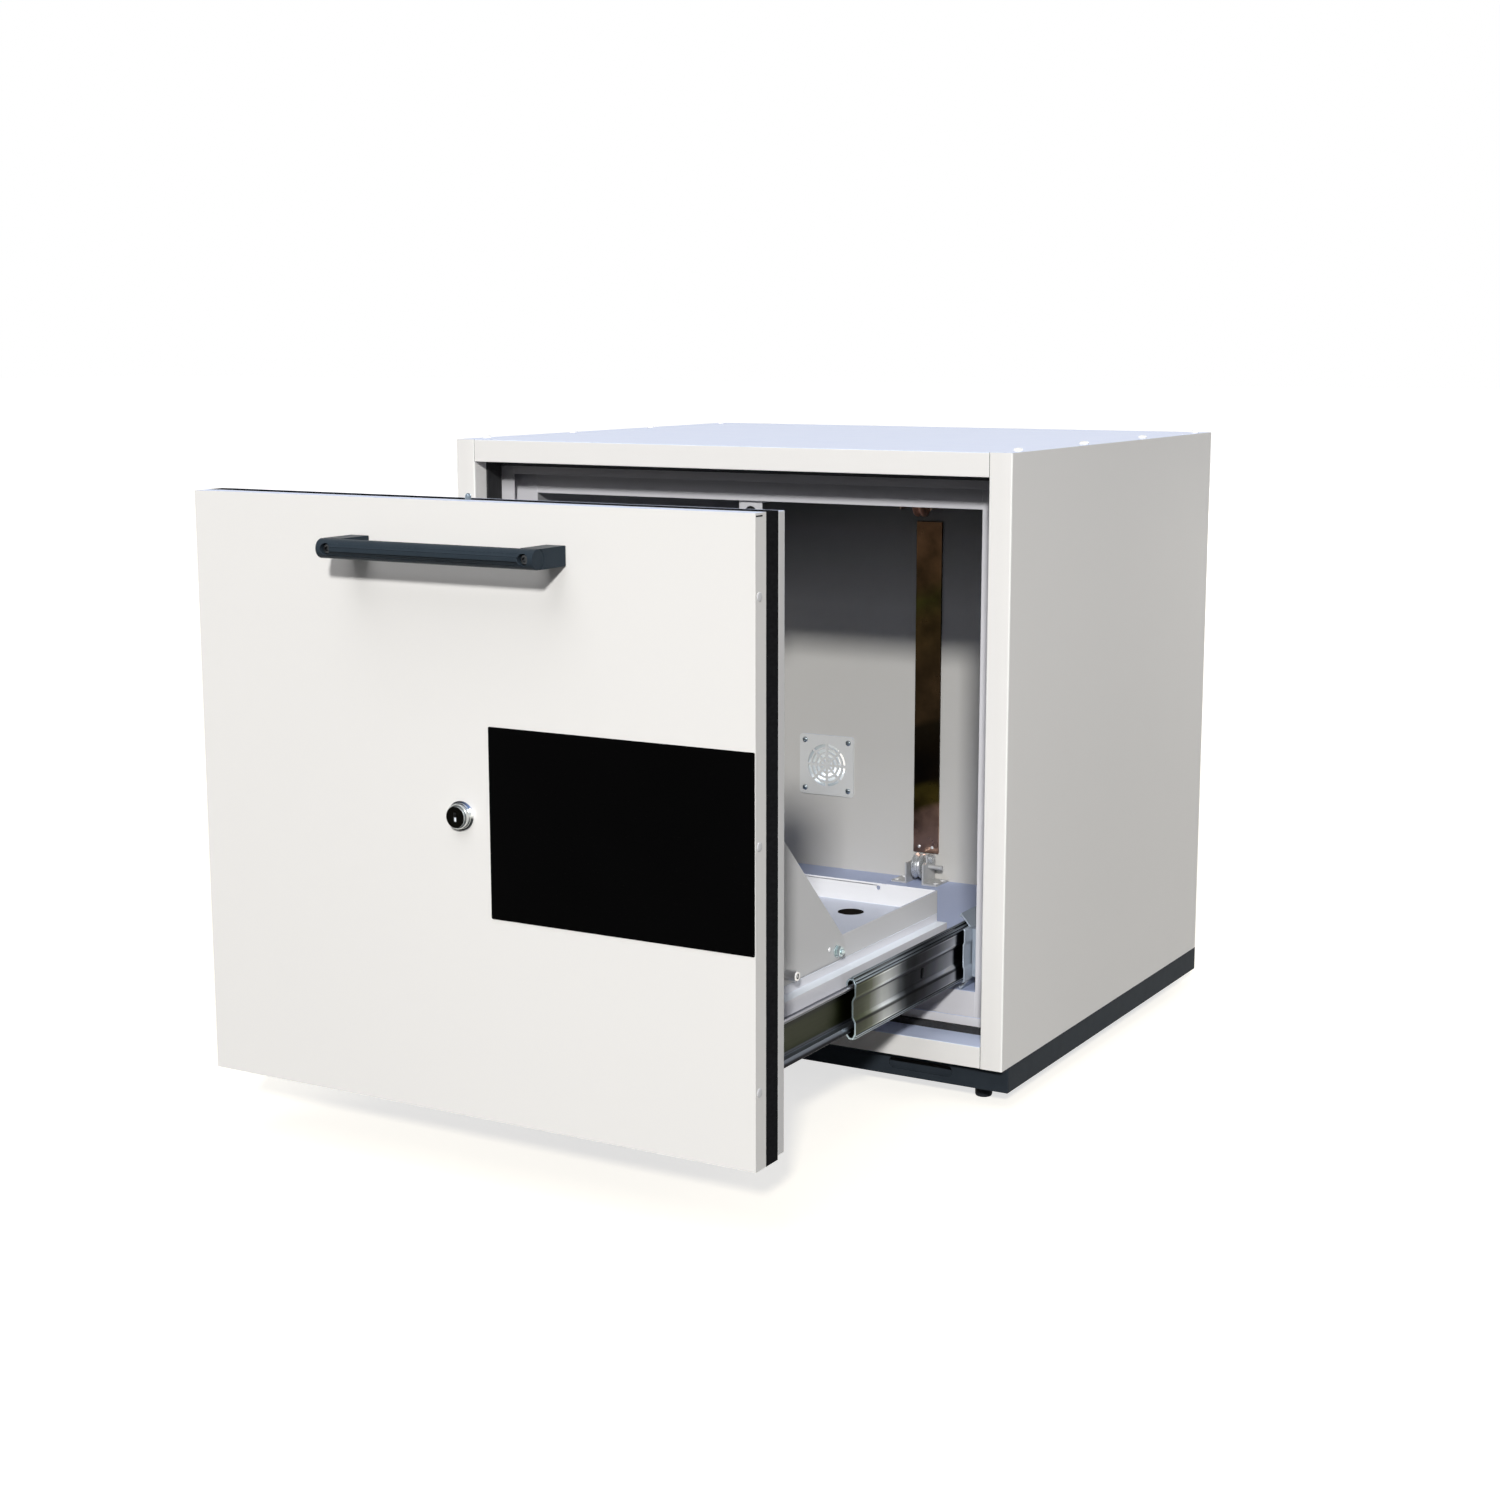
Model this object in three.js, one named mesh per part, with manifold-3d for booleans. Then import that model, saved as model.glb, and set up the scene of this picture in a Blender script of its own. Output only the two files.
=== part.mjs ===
// Underbench safety cabinet for a laboratory: a double-walled fire cabinet on a low plinth, with one
// drawer whose thick front closes the whole opening. The drawer runs on two three-part ball slides
// and carries a spill tray. It is modelled with the drawer pulled out.
// Sizes are in millimetres. X runs to the right, Y to the back and Z up. While the pieces are made,
// Y is zero at the front of the case; the whole cabinet is centred over its footprint at the end.
import * as THREE from 'three';
import { mergeVertices } from 'three/addons/utils/BufferGeometryUtils.js';
import Module from 'manifold-3d';

// Case of flat panels, fire boards inside them and a sheet liner inside those
const caseWidth = 600;
const caseDepth = 518.6;
const caseHeight = 559.2;
const sidePanelThickness = 22;
const topPanelThickness = 21.7;
const bottomPanelThickness = 20.3;
const rearPanelThickness = 22;
const panelEdgeRadius = 1.5;
const fireBoardThickness = 31.8;
const linerSheet = 1.2;

// Rebate that the drawer front closes into, with its seals
const rebateDepth = 60;
const rebateSheet = 1.5;
const rebateFlangeWidth = 17;
const rebateFlangeHeight = 13.5;
const sideSealInset = 19.4;
const sideSealThickness = 2;
const crossSealWidth = 7.5;
const crossSealThickness = 5.2;

// Plinth and levelling feet
const plinthHeight = 24.3;
const plinthSetback = 14.3;
const plinthRailDepth = 50;
const plinthSheet = 2;
const plinthSlotLength = 65;
const plinthSlotHeight = 10.7;
const plinthSlotCentreX = 211;
const footHeight = 16.5;
const footDiameter = 16.2;
const footPadHeight = 12;
const footEdgeRadius = 2.5;
const footSpindleDiameter = 8;
const footSpindleTopGap = 6;
const footInsetX = 38;
const footInsetY = 46;

// Drawer front, built up as a pan, a core board and a back plate
const drawerTravel = 400;
const frontProud = 2.2;
const frontSideGap = 5;
const frontTopGap = 5.6;
const frontBottomGap = 6.1;
const frontStopGap = 0.5;
const frontPanDepth = 16;
const coreEdgeDepth = 18.5;
const backPlateDepth = 10;
const backPlateBottomInset = 3.4;
const backPlateTopInset = 0.6;
const frontSheet = 1.5;

// Bar handle on two posts
const handleLength = 210;
const handleBarDiameter = 16;
const handleStandoff = 37.5;
const handlePostWidth = 18;
const handleBelowTop = 38.7;
const handleScrewInset = 9.2;
const handleRecessDiameter = 9.2;
const handleRecessDepth = 6;
const handleScrewHoleDiameter = 4.5;

// Cylinder lock that lifts a bolt in the drawer front
const lockCollarDiameter = 24;
const lockCollarProud = 2.2;
const lockRingDiameter = 20.8;
const lockRingProud = 6.6;
const lockBarrelDiameter = 17.6;
const lockBarrelProud = 9;
const lockHousingDepth = 13;
const lockBoreDiameter = 18.4;
const keywayWidth = 2.2;
const keywayHeight = 8;
const keywayDepth = 4;
const camLowRadius = 9;
const camThickness = 7;
const camPocketGap = 1.2;
const boltDiameter = 5;
const boltInset = 17.6;
const boltProud = 5.3;
const boltThrow = 6;
const strikeDiameter = 8;
const strikeDepth = 9;

// Ball slides
const slideThickness = 20;
const slideMountThickness = 3.5;
const slideMountHeight = 46;
const slideHeight = 73;
const slideSheet = 1.5;
const slideCentreAboveFloor = 37.7;
const slideRearGap = 11;
const slideTongue = 14;
const slideBallDiameter = 4.8;
const slideSlotWidth = 7.4;
const slideSlotHeight = 11;
const middleFrontGap = 4.2;
const middleRearGap = 12;
const middleTravelShare = 0.533;

// Carriage, spill tray and gusset plates
const carriageSheet = 2;
const carriageShoulderWidth = 10.2;
const carriageShoulderAboveSlide = 29.4;
const carriageSideBelowSlide = 14;
const carriageBaseRise = 7.6;
const carriageReturn = 12;
const carriageRearGap = 16.6;
const trayWallHeight = 22;
const traySheet = 1.5;
const trayDrainDiameter = 24.5;
const trayDrainFromSide = 70.3;
const trayDrainFromRear = 40;
const trayScrewHoleDiameter = 4;
const trayScrewHoleFromSide = 61.3;
const trayScrewHoleBelowRim = 4.4;
const gussetSheet = 1.5;
const gussetLength = 215.9;
const gussetHeight = 227.8;
const gussetNoseHeight = 15.2;
const gussetCornerLength = 5;
const gussetBottomGap = 2.4;
const gussetFlangeWidth = 18;
const gussetHoleDiameter = 5;
const gussetHoleAboveBottom = 8;
const gussetFrontHoleFromNose = 104.2;
const gussetRearHoleFromNose = 15.5;

// Extract air grille and the duct behind it
const grilleSize = 70;
const grilleSheet = 1.5;
const grilleCornerRadius = 4;
const grilleCentreX = -128.1;
const grilleAboveFloor = 119.5;
const grilleRingDiameter = 49;
const grilleSlotWidth = 3.3;
const grilleRibWidth = 2.9;
const ductDiameter = 54;
const ductWall = 1.6;
const ductProud = 20;
const ductCollarDiameter = 72;
const ductCollarThickness = 2;

// Closing gear on the back wall: a cover strip and two rope pulleys
const coverStripWidth = 31;
const coverStripThickness = 2.5;
const coverStripAboveFloor = 30.7;
const coverStripBelowCeiling = 47;
const pulleyDiameter = 29;
const pulleyWidth = 12;
const pulleyGrooveDepth = 3.5;
const pulleyCentreX = -0.3;
const pulleyHubWidth = 18;
const pulleyHubDiameter = 10;
const pulleyBracketSheet = 2;
const pulleyBracketLength = 30.5;
const pulleyBracketHeight = 23.5;
const pulleyFootWidth = 18.7;
const pulleyWallGap = 1.3;
const pulleyAxleDiameter = 5;
const pulleyAxleAboveFloor = 18.5;
const pulleyAxleOverhang = 16;
const upperPulleyDrop = 26;
const upperForkWidth = 39;
const guideRollerDiameter = 10;
const guideRollerLength = 5;
const guideRollerX = 14.2;
const guideRollerAboveFloor = 27.7;
const guideRollerPinDiameter = 4;
const upperCheekHeight = 31.5;
const upperPulleyForward = 6;

// Catch bracket under the ceiling, behind the front edge
const catchWidth = 25;
const catchDrop = 20;
const catchSheet = 2;
const catchFootLength = 16;
const catchSetback = 3;
const catchHoleDiameter = 13.4;

// Clearances
const seatGap = 0.3;
const runningGap = 0.6;
const cutOverrun = 1;
const weldDistance = 0.0001;

// Heights and depths that follow from the sizes above
const caseBottom = footHeight + plinthHeight;
const caseTop = caseBottom + caseHeight;
const halfWidth = caseWidth / 2;
const openingHalfWidth = halfWidth - sidePanelThickness;
const openingBottom = caseBottom + bottomPanelThickness;
const openingTop = caseTop - topPanelThickness;
const wallInset = fireBoardThickness + linerSheet;
const cavityHalfWidth = openingHalfWidth - wallInset;
const cavityFloor = openingBottom + wallInset;
const cavityCeiling = openingTop - wallInset;
const rearPanelFront = caseDepth - rearPanelThickness;
const cavityBack = rearPanelFront - wallInset;
const liningFront = rebateDepth + rebateSheet;
const frontThickness = frontPanDepth + coreEdgeDepth + backPlateDepth;
const rebateStop = frontThickness - frontProud + frontStopGap;
const frontHalfWidth = openingHalfWidth - frontSideGap;
const frontBottom = openingBottom + frontBottomGap;
const frontTop = openingTop - frontTopGap;
const frontFace = -drawerTravel - frontProud;
const frontRear = frontFace + frontThickness;
const slideCentre = cavityFloor + slideCentreAboveFloor;
const carriageHalfWidth = cavityHalfWidth - slideMountThickness - slideThickness;
const carriageRear = cavityBack - carriageRearGap - drawerTravel;
const shoulderTop = slideCentre + carriageShoulderAboveSlide;
const baseTop = shoulderTop + carriageBaseRise;
const upstandHalfWidth = carriageHalfWidth - carriageShoulderWidth;
const lockCentre = (frontBottom + frontTop) / 2;
const grilleCentre = cavityFloor + grilleAboveFloor;

// Counts of facets
const roundSides = 32;
const smallSides = 20;
const arcSteps = 4;

const coatWhite = surface(0xf0eeeb, 0.42, 0);
const linerGrey = surface(0xd6d6d8, 0.45, 0);
const boardGrey = surface(0xc9c4b8, 0.95, 0);
const coreBlack = surface(0x1c1c1e, 0.85, 0);
const sealBlack = surface(0x18181a, 0.8, 0);
const anthracite = surface(0x2f3438, 0.55, 0);
const handleBlue = surface(0x343c48, 0.45, 0.1);
const zinc = surface(0xb9bfc2, 0.32, 0.9);
const brightZinc = surface(0x8f989a, 0.2, 0.95);
const chrome = surface(0xd0d4d6, 0.12, 1);
const bronze = surface(0x55433c, 0.35, 0.7);
const barrelBlack = surface(0x16160f, 0.4, 0.3);

const wasm = await Module();
wasm.setup();

const cabinet = new THREE.Group();
const drawer = new THREE.Group();
cabinet.add(drawer);

addCase();
addFireBoards();
addLiner();
addRebate();
addSeal();
addPlinth();
addFeet();
addExtractDuct();
addClosingGear();
addCatch();
addSlides();
addDrawerFront();
addHandle();
addLock();
addCarriage();
addTray();
addGussets();

const frontmost = frontFace - handleStandoff - handleBarDiameter / 2;
const rearmost = caseDepth + ductProud;
cabinet.position.y = -(frontmost + rearmost) / 2;

export default cabinet;

function surface(color, roughness, metalness) {
  return new THREE.MeshStandardMaterial({ color, roughness, metalness });
}

function add(group, name, geometry, material, position = [0, 0, 0]) {
  const mesh = new THREE.Mesh(bareGeometry(geometry), material);
  mesh.name = name;
  mesh.position.set(...position);
  group.add(mesh);
}

function bareGeometry(geometry) {
  const bare = geometry.clone();
  bare.deleteAttribute('normal');
  bare.deleteAttribute('uv');
  return mergeVertices(bare, weldDistance);
}

function toSolid(geometry) {
  const welded = bareGeometry(geometry);
  return new wasm.Manifold(new wasm.Mesh({
    numProp: 3,
    vertProperties: new Float32Array(welded.attributes.position.array),
    triVerts: new Uint32Array(welded.index.array),
  }));
}

function toGeometry(solid) {
  const mesh = solid.getMesh();
  const geometry = new THREE.BufferGeometry();
  geometry.setAttribute('position', new THREE.BufferAttribute(mesh.vertProperties, 3));
  geometry.setIndex(new THREE.BufferAttribute(mesh.triVerts, 1));
  return geometry;
}

function cut(geometry, ...tools) {
  return toGeometry(tools.reduce((solid, tool) => solid.subtract(toSolid(tool)), toSolid(geometry)));
}

function join(geometry, ...others) {
  return toGeometry(others.reduce((solid, other) => solid.add(toSolid(other)), toSolid(geometry)));
}

// A block between two corners. Its faces lie exactly on the numbers given, so that blocks can touch.
function block(low, high) {
  const geometry = new THREE.BoxGeometry();
  const position = geometry.attributes.position;
  for (let i = 0; i < position.count; i += 1) {
    for (let axis = 0; axis < 3; axis += 1) {
      position.setComponent(i, axis, position.getComponent(i, axis) > 0 ? high[axis] : low[axis]);
    }
  }
  return geometry;
}

// A rod between two points of one axis, with its centre at the other two coordinates.
function rod(axis, centre, from, to, radius, sides = smallSides) {
  const geometry = new THREE.CylinderGeometry(radius, radius, to - from, sides);
  const middle = (from + to) / 2;
  if (axis === 'x') return geometry.rotateZ(Math.PI / 2).translate(middle, centre[0], centre[1]);
  if (axis === 'y') return geometry.translate(centre[0], middle, centre[1]);
  return geometry.rotateX(Math.PI / 2).translate(centre[0], centre[1], middle);
}

function shapeOf(points) {
  return new THREE.Shape(points.map((point) => new THREE.Vector2(point[0], point[1])));
}

// Shapes drawn in the X-Z, Y-Z or X-Y plane and stretched along the third axis. The end faces lie
// exactly on the two numbers given.
function extrudeY(shape, from, to) {
  return extrude(shape, from, to, ([x, z, along]) => [x, -along, z], (along) => -along);
}

function extrudeX(shape, from, to) {
  return extrude(shape, from, to, ([y, z, along]) => [along, y, z], (along) => along);
}

function extrudeZ(shape, from, to) {
  return extrude(shape, from, to, ([x, y, along]) => [x, y, along], (along) => along);
}

function extrude(shape, from, to, place, direction) {
  const options = { depth: to - from, bevelEnabled: false, curveSegments: arcSteps };
  const geometry = new THREE.ExtrudeGeometry(shape, options);
  const position = geometry.attributes.position;
  const ends = [from, to].map(direction).sort((a, b) => a - b);
  for (let i = 0; i < position.count; i += 1) {
    const along = position.getZ(i) > options.depth / 2 ? ends[1] : ends[0];
    position.setXYZ(i, ...place([position.getX(i), position.getY(i), along]));
  }
  return geometry;
}

// The outline of a bent sheet whose middle line runs through the points, with mitred bends.
function sheetShape(points, thickness) {
  const line = points.map((point) => new THREE.Vector2(point[0], point[1]));
  const normals = line.slice(1).map((point, i) => {
    const run = point.clone().sub(line[i]).normalize();
    return new THREE.Vector2(-run.y, run.x);
  });
  const offsets = line.map((point, i) => {
    const before = normals[Math.max(i - 1, 0)];
    const after = normals[Math.min(i, normals.length - 1)];
    const mitre = before.clone().add(after).normalize();
    return mitre.multiplyScalar(thickness / 2 / mitre.dot(before));
  });
  const left = line.map((point, i) => point.clone().add(offsets[i]));
  const right = line.map((point, i) => point.clone().sub(offsets[i]));
  return new THREE.Shape([...left, ...right.reverse()]);
}

function roundedRectangle(width, height, radius, centreX = 0, centreY = 0) {
  const shape = new THREE.Shape();
  const right = width / 2;
  const top = height / 2;
  shape.absarc(centreX + right - radius, centreY + top - radius, radius, 0, Math.PI / 2);
  shape.absarc(centreX - right + radius, centreY + top - radius, radius, Math.PI / 2, Math.PI);
  shape.absarc(centreX - right + radius, centreY - top + radius, radius, Math.PI, Math.PI * 1.5);
  shape.absarc(centreX + right - radius, centreY - top + radius, radius, Math.PI * 1.5, Math.PI * 2);
  return shape;
}

function turned(profile, sides = roundSides) {
  return new THREE.LatheGeometry(profile.map((point) => new THREE.Vector2(point[0], point[1])), sides);
}

// Side panels run the full height and depth; the top, bottom and rear panels stand between them.
function addCase() {
  for (const [side, sign] of [['left', -1], ['right', 1]]) {
    const outline = roundedRectangle(sidePanelThickness, caseDepth, panelEdgeRadius);
    const centreX = sign * (halfWidth - sidePanelThickness / 2);
    add(cabinet, `side_panel_${side}`, extrudeZ(outline, 0, caseHeight), coatWhite, [centreX, caseDepth / 2, caseBottom]);
  }
  const strikeY = boltInset - frontProud;
  const strike = rod('z', [0, strikeY], openingTop - cutOverrun, openingTop + strikeDepth, strikeDiameter / 2);
  const top = block([-openingHalfWidth, 0, openingTop], [openingHalfWidth, rearPanelFront, caseTop]);
  add(cabinet, 'top_panel', cut(top, strike), coatWhite);
  const bottom = block([-openingHalfWidth, 0, caseBottom], [openingHalfWidth, rearPanelFront, openingBottom]);
  add(cabinet, 'bottom_panel', bottom, coatWhite);
  const rear = block([-openingHalfWidth, rearPanelFront, caseBottom], [openingHalfWidth, caseDepth, caseTop]);
  add(cabinet, 'rear_panel', cut(rear, ductHole(rearPanelFront, caseDepth)), coatWhite);
}

function ductHole(from, to) {
  const radius = ductDiameter / 2 + seatGap;
  return rod('y', [grilleCentreX, grilleCentre], from - cutOverrun, to + cutOverrun, radius, roundSides);
}

// Fire boards line the panels on all five sides.
function addFireBoards() {
  const inner = openingHalfWidth - fireBoardThickness;
  const lowTop = openingBottom + fireBoardThickness;
  const highBottom = openingTop - fireBoardThickness;
  const backFront = rearPanelFront - fireBoardThickness;
  const left = block([-openingHalfWidth, liningFront, openingBottom], [-inner, rearPanelFront, openingTop]);
  const right = block([inner, liningFront, openingBottom], [openingHalfWidth, rearPanelFront, openingTop]);
  const bottom = block([-inner, liningFront, openingBottom], [inner, rearPanelFront, lowTop]);
  const top = block([-inner, liningFront, highBottom], [inner, rearPanelFront, openingTop]);
  const rear = block([-inner, backFront, lowTop], [inner, rearPanelFront, highBottom]);
  add(cabinet, 'fire_board_left', left, boardGrey);
  add(cabinet, 'fire_board_right', right, boardGrey);
  add(cabinet, 'fire_board_bottom', bottom, boardGrey);
  add(cabinet, 'fire_board_top', top, boardGrey);
  add(cabinet, 'fire_board_rear', cut(rear, ductHole(backFront, rearPanelFront)), boardGrey);
}

// The sheet liner makes the walls of the cavity.
function addLiner() {
  const outer = cavityHalfWidth + linerSheet;
  const low = cavityFloor - linerSheet;
  const high = cavityCeiling + linerSheet;
  const left = block([-outer, liningFront, low], [-cavityHalfWidth, cavityBack, high]);
  const right = block([cavityHalfWidth, liningFront, low], [outer, cavityBack, high]);
  const floor = block([-cavityHalfWidth, liningFront, low], [cavityHalfWidth, cavityBack, cavityFloor]);
  const ceiling = block([-cavityHalfWidth, liningFront, cavityCeiling], [cavityHalfWidth, cavityBack, high]);
  const back = block([-outer, cavityBack, low], [outer, cavityBack + linerSheet, high]);
  add(cabinet, 'liner_left', left, linerGrey);
  add(cabinet, 'liner_right', right, linerGrey);
  add(cabinet, 'liner_floor', floor, linerGrey);
  add(cabinet, 'liner_ceiling', ceiling, linerGrey);
  add(cabinet, 'liner_back', cut(back, ductHole(cavityBack, cavityBack + linerSheet)), linerGrey);
}

// Folded rebate sheets cover the edge of the lining and make the stop for the drawer front. Each has
// a narrow stop flange, a step back along the panel and a wide face.
function addRebate() {
  const half = rebateSheet / 2;
  const stopLine = rebateStop + half;
  const faceLine = rebateDepth + half;
  for (const [side, sign] of [['left', -1], ['right', 1]]) {
    const folds = [
      [sign * (openingHalfWidth - rebateFlangeWidth), stopLine],
      [sign * (openingHalfWidth - half), stopLine],
      [sign * (openingHalfWidth - half), faceLine],
      [sign * cavityHalfWidth, faceLine],
    ];
    add(cabinet, `rebate_${side}`, extrudeZ(sheetShape(folds, rebateSheet), openingBottom, openingTop), coatWhite);
  }
  const flangeHalf = openingHalfWidth - rebateFlangeWidth;
  for (const [side, edge, sign] of [['bottom', openingBottom, 1], ['top', openingTop, -1]]) {
    const folds = [
      [stopLine, edge + sign * rebateFlangeHeight],
      [stopLine, edge + sign * half],
      [rebateDepth, edge + sign * half],
    ];
    const facePoints = [edge, edge + sign * wallInset];
    const face = block(
      [-cavityHalfWidth, rebateDepth, Math.min(...facePoints)],
      [cavityHalfWidth, liningFront, Math.max(...facePoints)],
    );
    const step = extrudeX(sheetShape(folds, rebateSheet), -flangeHalf, flangeHalf);
    add(cabinet, `rebate_${side}`, join(step, face), coatWhite);
  }
}

// The black seal runs all round the rebate, wide and thin along the jambs and narrow above and below.
function addSeal() {
  const sealRear = rebateStop - seatGap;
  const sideFace = openingHalfWidth - sideSealThickness;
  const strips = [-1, 1].map((sign) => {
    const faces = [sign * openingHalfWidth, sign * sideFace];
    return block(
      [Math.min(...faces), sideSealInset, openingBottom],
      [Math.max(...faces), sealRear, openingTop],
    );
  });
  const low = openingBottom + crossSealThickness;
  const high = openingTop - crossSealThickness;
  const crossFront = sealRear - crossSealWidth;
  const bottom = block([-openingHalfWidth, crossFront, openingBottom], [openingHalfWidth, sealRear, low]);
  const top = block([-openingHalfWidth, crossFront, high], [openingHalfWidth, sealRear, openingTop]);
  add(cabinet, 'rebate_seal', join(bottom, top, ...strips), sealBlack);
}

// Folded plinth rails: front and rear rails run the full width, and the webs of the side rails reach
// from one to the other, past the ends of their flanges. The front rail has two long slots, and the
// feet screw into the lower flanges.
function addPlinth() {
  const low = footHeight;
  const high = caseBottom;
  const half = plinthSheet / 2;
  const frontFolds = [
    [plinthSetback + plinthRailDepth, high - half],
    [plinthSetback + half, high - half],
    [plinthSetback + half, low + half],
    [plinthSetback + plinthRailDepth, low + half],
  ];
  const rearFolds = frontFolds.map(([y, z]) => [caseDepth + plinthSetback - y, z]);
  const slotRadius = plinthSlotHeight / 2;
  const slots = [-plinthSlotCentreX, plinthSlotCentreX].map((centre) => {
    const outline = roundedRectangle(plinthSlotLength, plinthSlotHeight, slotRadius, centre, (low + high) / 2);
    return extrudeY(outline, plinthSetback - cutOverrun, plinthSetback + plinthSheet + cutOverrun);
  });
  const front = extrudeX(sheetShape(frontFolds, plinthSheet), -halfWidth, halfWidth);
  const rear = extrudeX(sheetShape(rearFolds, plinthSheet), -halfWidth, halfWidth);
  const webFrom = plinthSetback + plinthSheet;
  const webTo = caseDepth - plinthSheet;
  const sideFrom = plinthSetback + plinthRailDepth;
  const sideTo = caseDepth - plinthRailDepth;
  const trims = (from, to) => [-1, 1].map((sign) => {
    const across = [sign * (halfWidth - plinthSheet), sign * (halfWidth + cutOverrun)];
    return block(
      [Math.min(...across), from, low - cutOverrun],
      [Math.max(...across), to, high + cutOverrun],
    );
  });
  const frontTrims = trims(webFrom, sideFrom + cutOverrun);
  const rearTrims = trims(sideTo - cutOverrun, webTo);
  add(cabinet, 'plinth_front', cut(front, ...slots, ...frontTrims, ...footHoles(footInsetY)), anthracite);
  add(cabinet, 'plinth_rear', cut(rear, ...rearTrims, ...footHoles(caseDepth - footInsetY)), anthracite);
  for (const [side, sign] of [['left', -1], ['right', 1]]) {
    const folds = [
      [sign * (halfWidth - plinthRailDepth), high - half],
      [sign * (halfWidth - half), high - half],
      [sign * (halfWidth - half), low + half],
      [sign * (halfWidth - plinthRailDepth), low + half],
    ];
    const rail = extrudeY(sheetShape(folds, plinthSheet), webFrom, webTo);
    const flanges = [sign * (halfWidth - plinthRailDepth - cutOverrun), sign * (halfWidth - plinthSheet)];
    const ends = [[webFrom - cutOverrun, sideFrom], [sideTo, webTo + cutOverrun]].map(([from, to]) => block(
      [Math.min(...flanges), from, low - cutOverrun],
      [Math.max(...flanges), to, high + cutOverrun],
    ));
    add(cabinet, `plinth_${side}`, cut(rail, ...ends), anthracite);
  }
}

function footHoles(centreY) {
  const centreX = halfWidth - footInsetX;
  const radius = footSpindleDiameter / 2 + seatGap;
  const top = footHeight + plinthSheet + cutOverrun;
  return [-centreX, centreX].map((x) => rod('z', [x, centreY], footHeight - cutOverrun, top, radius));
}

// Levelling feet: a round pad on a spindle.
function addFeet() {
  const pad = footDiameter / 2;
  const spindle = footSpindleDiameter / 2;
  const spindleTop = caseBottom - footSpindleTopGap;
  const profile = [
    [0, 0],
    [pad - footEdgeRadius, 0],
    [pad - footEdgeRadius * (1 - Math.SQRT1_2), footEdgeRadius * (1 - Math.SQRT1_2)],
    [pad, footEdgeRadius],
    [pad, footPadHeight],
    [spindle, footPadHeight],
    [spindle, spindleTop],
    [0, spindleTop],
  ];
  const centreX = halfWidth - footInsetX;
  const places = [
    ['front_left', -centreX, footInsetY],
    ['front_right', centreX, footInsetY],
    ['rear_left', -centreX, caseDepth - footInsetY],
    ['rear_right', centreX, caseDepth - footInsetY],
  ];
  for (const [name, x, y] of places) {
    add(cabinet, `levelling_foot_${name}`, turned(profile, smallSides).rotateX(Math.PI / 2), anthracite, [x, y, 0]);
  }
}

// The grille has four rings of slots between eight ribs; a duct leads from it through the wall.
function addExtractDuct() {
  const plate = roundedRectangle(grilleSize, grilleSize, grilleCornerRadius);
  const ringCount = 4;
  const ribCount = 8;
  const outer = grilleRingDiameter / 2;
  const pitch = (outer - grilleSlotWidth / 2) / ringCount;
  for (let ring = 0; ring < ringCount; ring += 1) {
    const slotOuter = outer - ring * pitch;
    const slotInner = slotOuter - grilleSlotWidth;
    for (let rib = 0; rib < ribCount; rib += 1) {
      plate.holes.push(grilleSlot(slotInner, slotOuter, rib * Math.PI * 2 / ribCount, ribCount));
    }
  }
  const grille = extrudeY(plate, 0, grilleSheet);
  add(cabinet, 'vent_grille', grille, linerGrey, [grilleCentreX, cavityBack - grilleSheet, grilleCentre]);
  const outerRadius = ductDiameter / 2;
  const innerRadius = outerRadius - ductWall;
  const wallDepth = caseDepth - cavityBack;
  const profile = [
    [innerRadius, 0],
    [outerRadius, 0],
    [outerRadius, wallDepth],
    [ductCollarDiameter / 2, wallDepth],
    [ductCollarDiameter / 2, wallDepth + ductCollarThickness],
    [outerRadius, wallDepth + ductCollarThickness],
    [outerRadius, wallDepth + ductProud],
    [innerRadius, wallDepth + ductProud],
    [innerRadius, 0],
  ];
  add(cabinet, 'exhaust_spigot', turned(profile), zinc, [grilleCentreX, cavityBack, grilleCentre]);
}

// One curved slot of the grille, from rib to rib.
function grilleSlot(inner, outer, start, ribCount) {
  const arc = (radius) => {
    const from = Math.asin(grilleRibWidth / 2 / radius);
    const to = Math.PI * 2 / ribCount - from;
    return Array.from({ length: arcSteps + 1 }, (_, i) => {
      const angle = start + from + (to - from) * i / arcSteps;
      return new THREE.Vector2(radius * Math.cos(angle), radius * Math.sin(angle));
    });
  };
  return new THREE.Path([...arc(outer).reverse(), ...arc(inner)]);
}

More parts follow.
